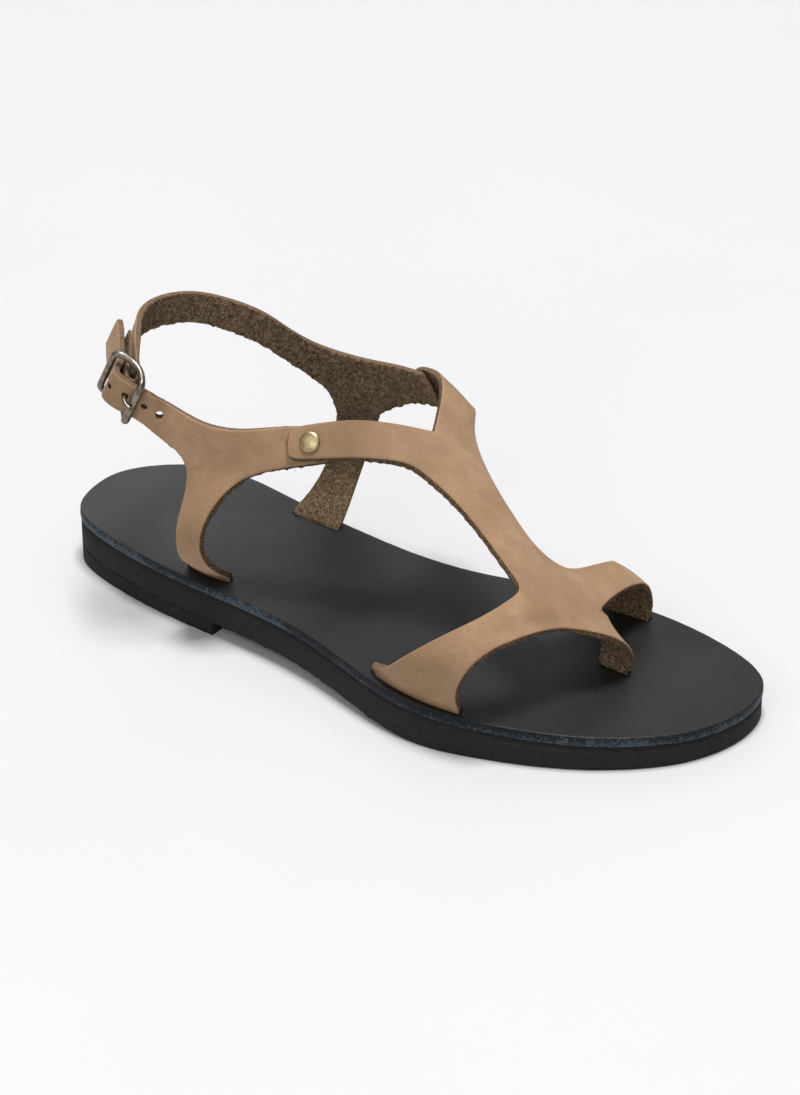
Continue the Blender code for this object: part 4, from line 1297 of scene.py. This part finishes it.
def outsole_top(x):
    return insole_bottom(x) - LAYER_GAP


def heel_top(x):
    return underside(x) - HEEL_GAP


def edge_grain(points):
    """Uneven burnish on the upright faces."""
    made = points.copy()
    made[:, 1] += EDGE_ROUGH * cloud(points, 2.2, 3, 51) * np.sign(points[:, 1])
    return made


def torn_grain(points):
    """Upright faces with a torn lower edge under the arch."""
    made = edge_grain(points)
    raised = np.clip(points[:, 2] / 2.0, 0.0, 1.0) * (points[:, 2] < underside(points[:, 0]) + TORN_BAND)
    made[:, 2] -= TORN * raised * np.clip(field(points, 1.1, 57), -0.2, 1.0)
    return made


insole_rings = arc_rings(EDGE_ROUND, 0.0, footbed, 6, 1) + [
    (-0.08, lambda x: footbed(x) - 1.6),
    (-0.06, lambda x: footbed(x) - 2.5),
    (0.05, lambda x: insole_bottom(x) + 0.15),
    (0.3, insole_bottom),
]
insole = slab("insole_leather", insole_rings, [INSOLE_TOP, INSOLE_EDGE], [0] * 3 + [1] * 8, edge_grain)
slots = (
    (TOE_POST, TOE_POST_SLOT, VAMP_COLUMNS, 1, LEATHER, 0.0),
    (OUTER_TOE_ARM, OUTER_TOE_SLOT, len(TOE_CROSS), 1, LEATHER, 0.0),
    (INNER_TOE_ARM, INNER_TOE_SLOT, len(TOE_CROSS), -1, LEATHER, 0.0),
    (OUTER_LEG, OUTER_LEG_SLOT, ARM_COLUMNS, -1, LEATHER, 0.0),
    (INNER_LEG, INNER_LEG_SLOT, ARM_COLUMNS, 1, 0.0, LEATHER),
)
cut(insole, [slot_cutter(*slot) for slot in slots], INSOLE_TOP)
places = layer_of(insole.data.vertices, "co", 3) / MM - PLACE
note(insole, "level", (places[:, 2] - insole_bottom(places[:, 0])) / INSOLE_THICK)

outsole_rings = [
    (OUTSOLE_INSET, outsole_top),
    (OUTSOLE_INSET, lambda x: 0.5 * (outsole_top(x) + underside(x))),
] + arc_rings(EDGE_ROUND, OUTSOLE_INSET, underside, 4, -1)
outsole = slab("outsole_rubber", outsole_rings, [RUBBER], [0] * 7, torn_grain)
heel_rings = [
    (HEEL_INSET, heel_top),
    (HEEL_INSET, lambda x: 0.5 * heel_top(x)),
] + arc_rings(EDGE_ROUND, HEEL_INSET, lambda x: 0.0, 4, -1)
breast = np.arccos(1 - 2 * HEEL_BREAST_X / LENGTH)
heel = slab("heel_lift_rubber", heel_rings, [RUBBER], [0] * 7, edge_grain, breast)

# Pieces with their finishes and the nodes that they stand for
for piece, finish, *nodes in (
    (vamp, "nubuck", "vamp"),
    (outer, "nubuck", "outer_quarter"),
    (inner, "nubuck", "inner_quarter"),
    (vamp_fuzz, "nubuck"),
    (outer_fuzz, "nubuck"),
    (inner_fuzz, "nubuck"),
    (insole, "insole leather", "insole"),
    (outsole, "sole rubber", "outsole"),
    (heel, "sole rubber", "heel_lift"),
    (outer_rivet, "brass", "outer_rivet"),
    (inner_rivet, "brass", "inner_rivet"),
    (fold_rivet, "antique nickel", "fold_rivet"),
    (buckle, "antique nickel", "buckle_frame"),
    (centre, "antique nickel"),
    (prong, "antique nickel", "buckle_prong"),
):
    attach(piece, "root")
    if nodes:
        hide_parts(*nodes)

# Stage: where the floor starts in front and bends up behind, the bend's radius, and half the floor's width,
# which is also how far the backdrop rises
FLOOR_FRONT = -2600.0
FLOOR_BACK = 1500.0
FLOOR_BEND = 700.0
FLOOR_HALF = 3200.0


def stage():
    """Pale floor that sweeps up to a backdrop behind the sandal."""
    aim = np.array(CAMERA_AIM[:2])
    view = unit(aim - np.array(CAMERA_AT[:2]))
    side = np.array([view[1], -view[0]])
    profile = [(FLOOR_FRONT, 0.0)]
    for a in np.linspace(0, np.pi / 2, 16):
        profile.append((FLOOR_BACK + FLOOR_BEND * np.sin(a), FLOOR_BEND * (1 - np.cos(a))))
    profile.append((FLOOR_BACK + FLOOR_BEND, FLOOR_HALF))
    points = [(*(d * view + s * side + aim), z) for d, z in profile for s in (-FLOOR_HALF, FLOOR_HALF)]
    faces = [[2 * i, 2 * i + 1, 2 * i + 3, 2 * i + 2] for i in range(len(profile) - 1)]
    look = Look("floor", (0.62, 0.62, 0.62), 0.7, specular=0.2)
    look.colour(look.mix(look.noise(120, 2), (0.63, 0.63, 0.642), (0.65, 0.65, 0.667)))
    floor = mesh_object("floor", points, faces, [look.material])


def point_at(thing, place, aim):
    """Stand at a place and look at another."""
    thing.location = place
    thing.rotation_euler = (Vector(aim) - Vector(place)).to_track_quat("-Z", "Y").to_euler()


def area_light(name, place, aim, size, power, colour):
    light = bpy.data.lights.new(name, "AREA")
    light.shape = "RECTANGLE"
    light.size, light.size_y = size
    light.energy = power
    light.color = colour
    point_at(new_object(name, light), place, aim)


def lights():
    area_light("key", (0.1, 0.1, 4.0), (0.0, 0.0, 0.0), (1.1, 1.1), 157.0, (1.0, 0.99, 0.98))
    area_light("fill", (0.4, -1.5, 1.1), (0.0, 0.0, 0.05), (1.8, 1.2), 10.5, (1.0, 1.0, 1.0))
    sky = bpy.data.worlds.new("studio")
    sky.use_nodes = True
    shader = sky.node_tree.nodes["Background"]
    shader.inputs["Color"].default_value = (1.0, 1.0, 1.0, 1.0)
    shader.inputs["Strength"].default_value = 0.3
    bpy.context.scene.world = sky
    bpy.context.scene.view_settings.view_transform = "Standard"


def camera():
    """Camera at the photograph's standpoint."""
    lens = bpy.data.cameras.new("camera")
    lens.sensor_fit = "VERTICAL"
    lens.sensor_height = SENSOR
    lens.lens = CAMERA_FOCUS * SENSOR / IMAGE_HIGH
    lens.clip_end = 20.0
    thing = new_object("camera", lens)
    point_at(thing, world(CAMERA_AT), world(CAMERA_AIM))
    bpy.context.scene.camera = thing


stage()
lights()
camera()
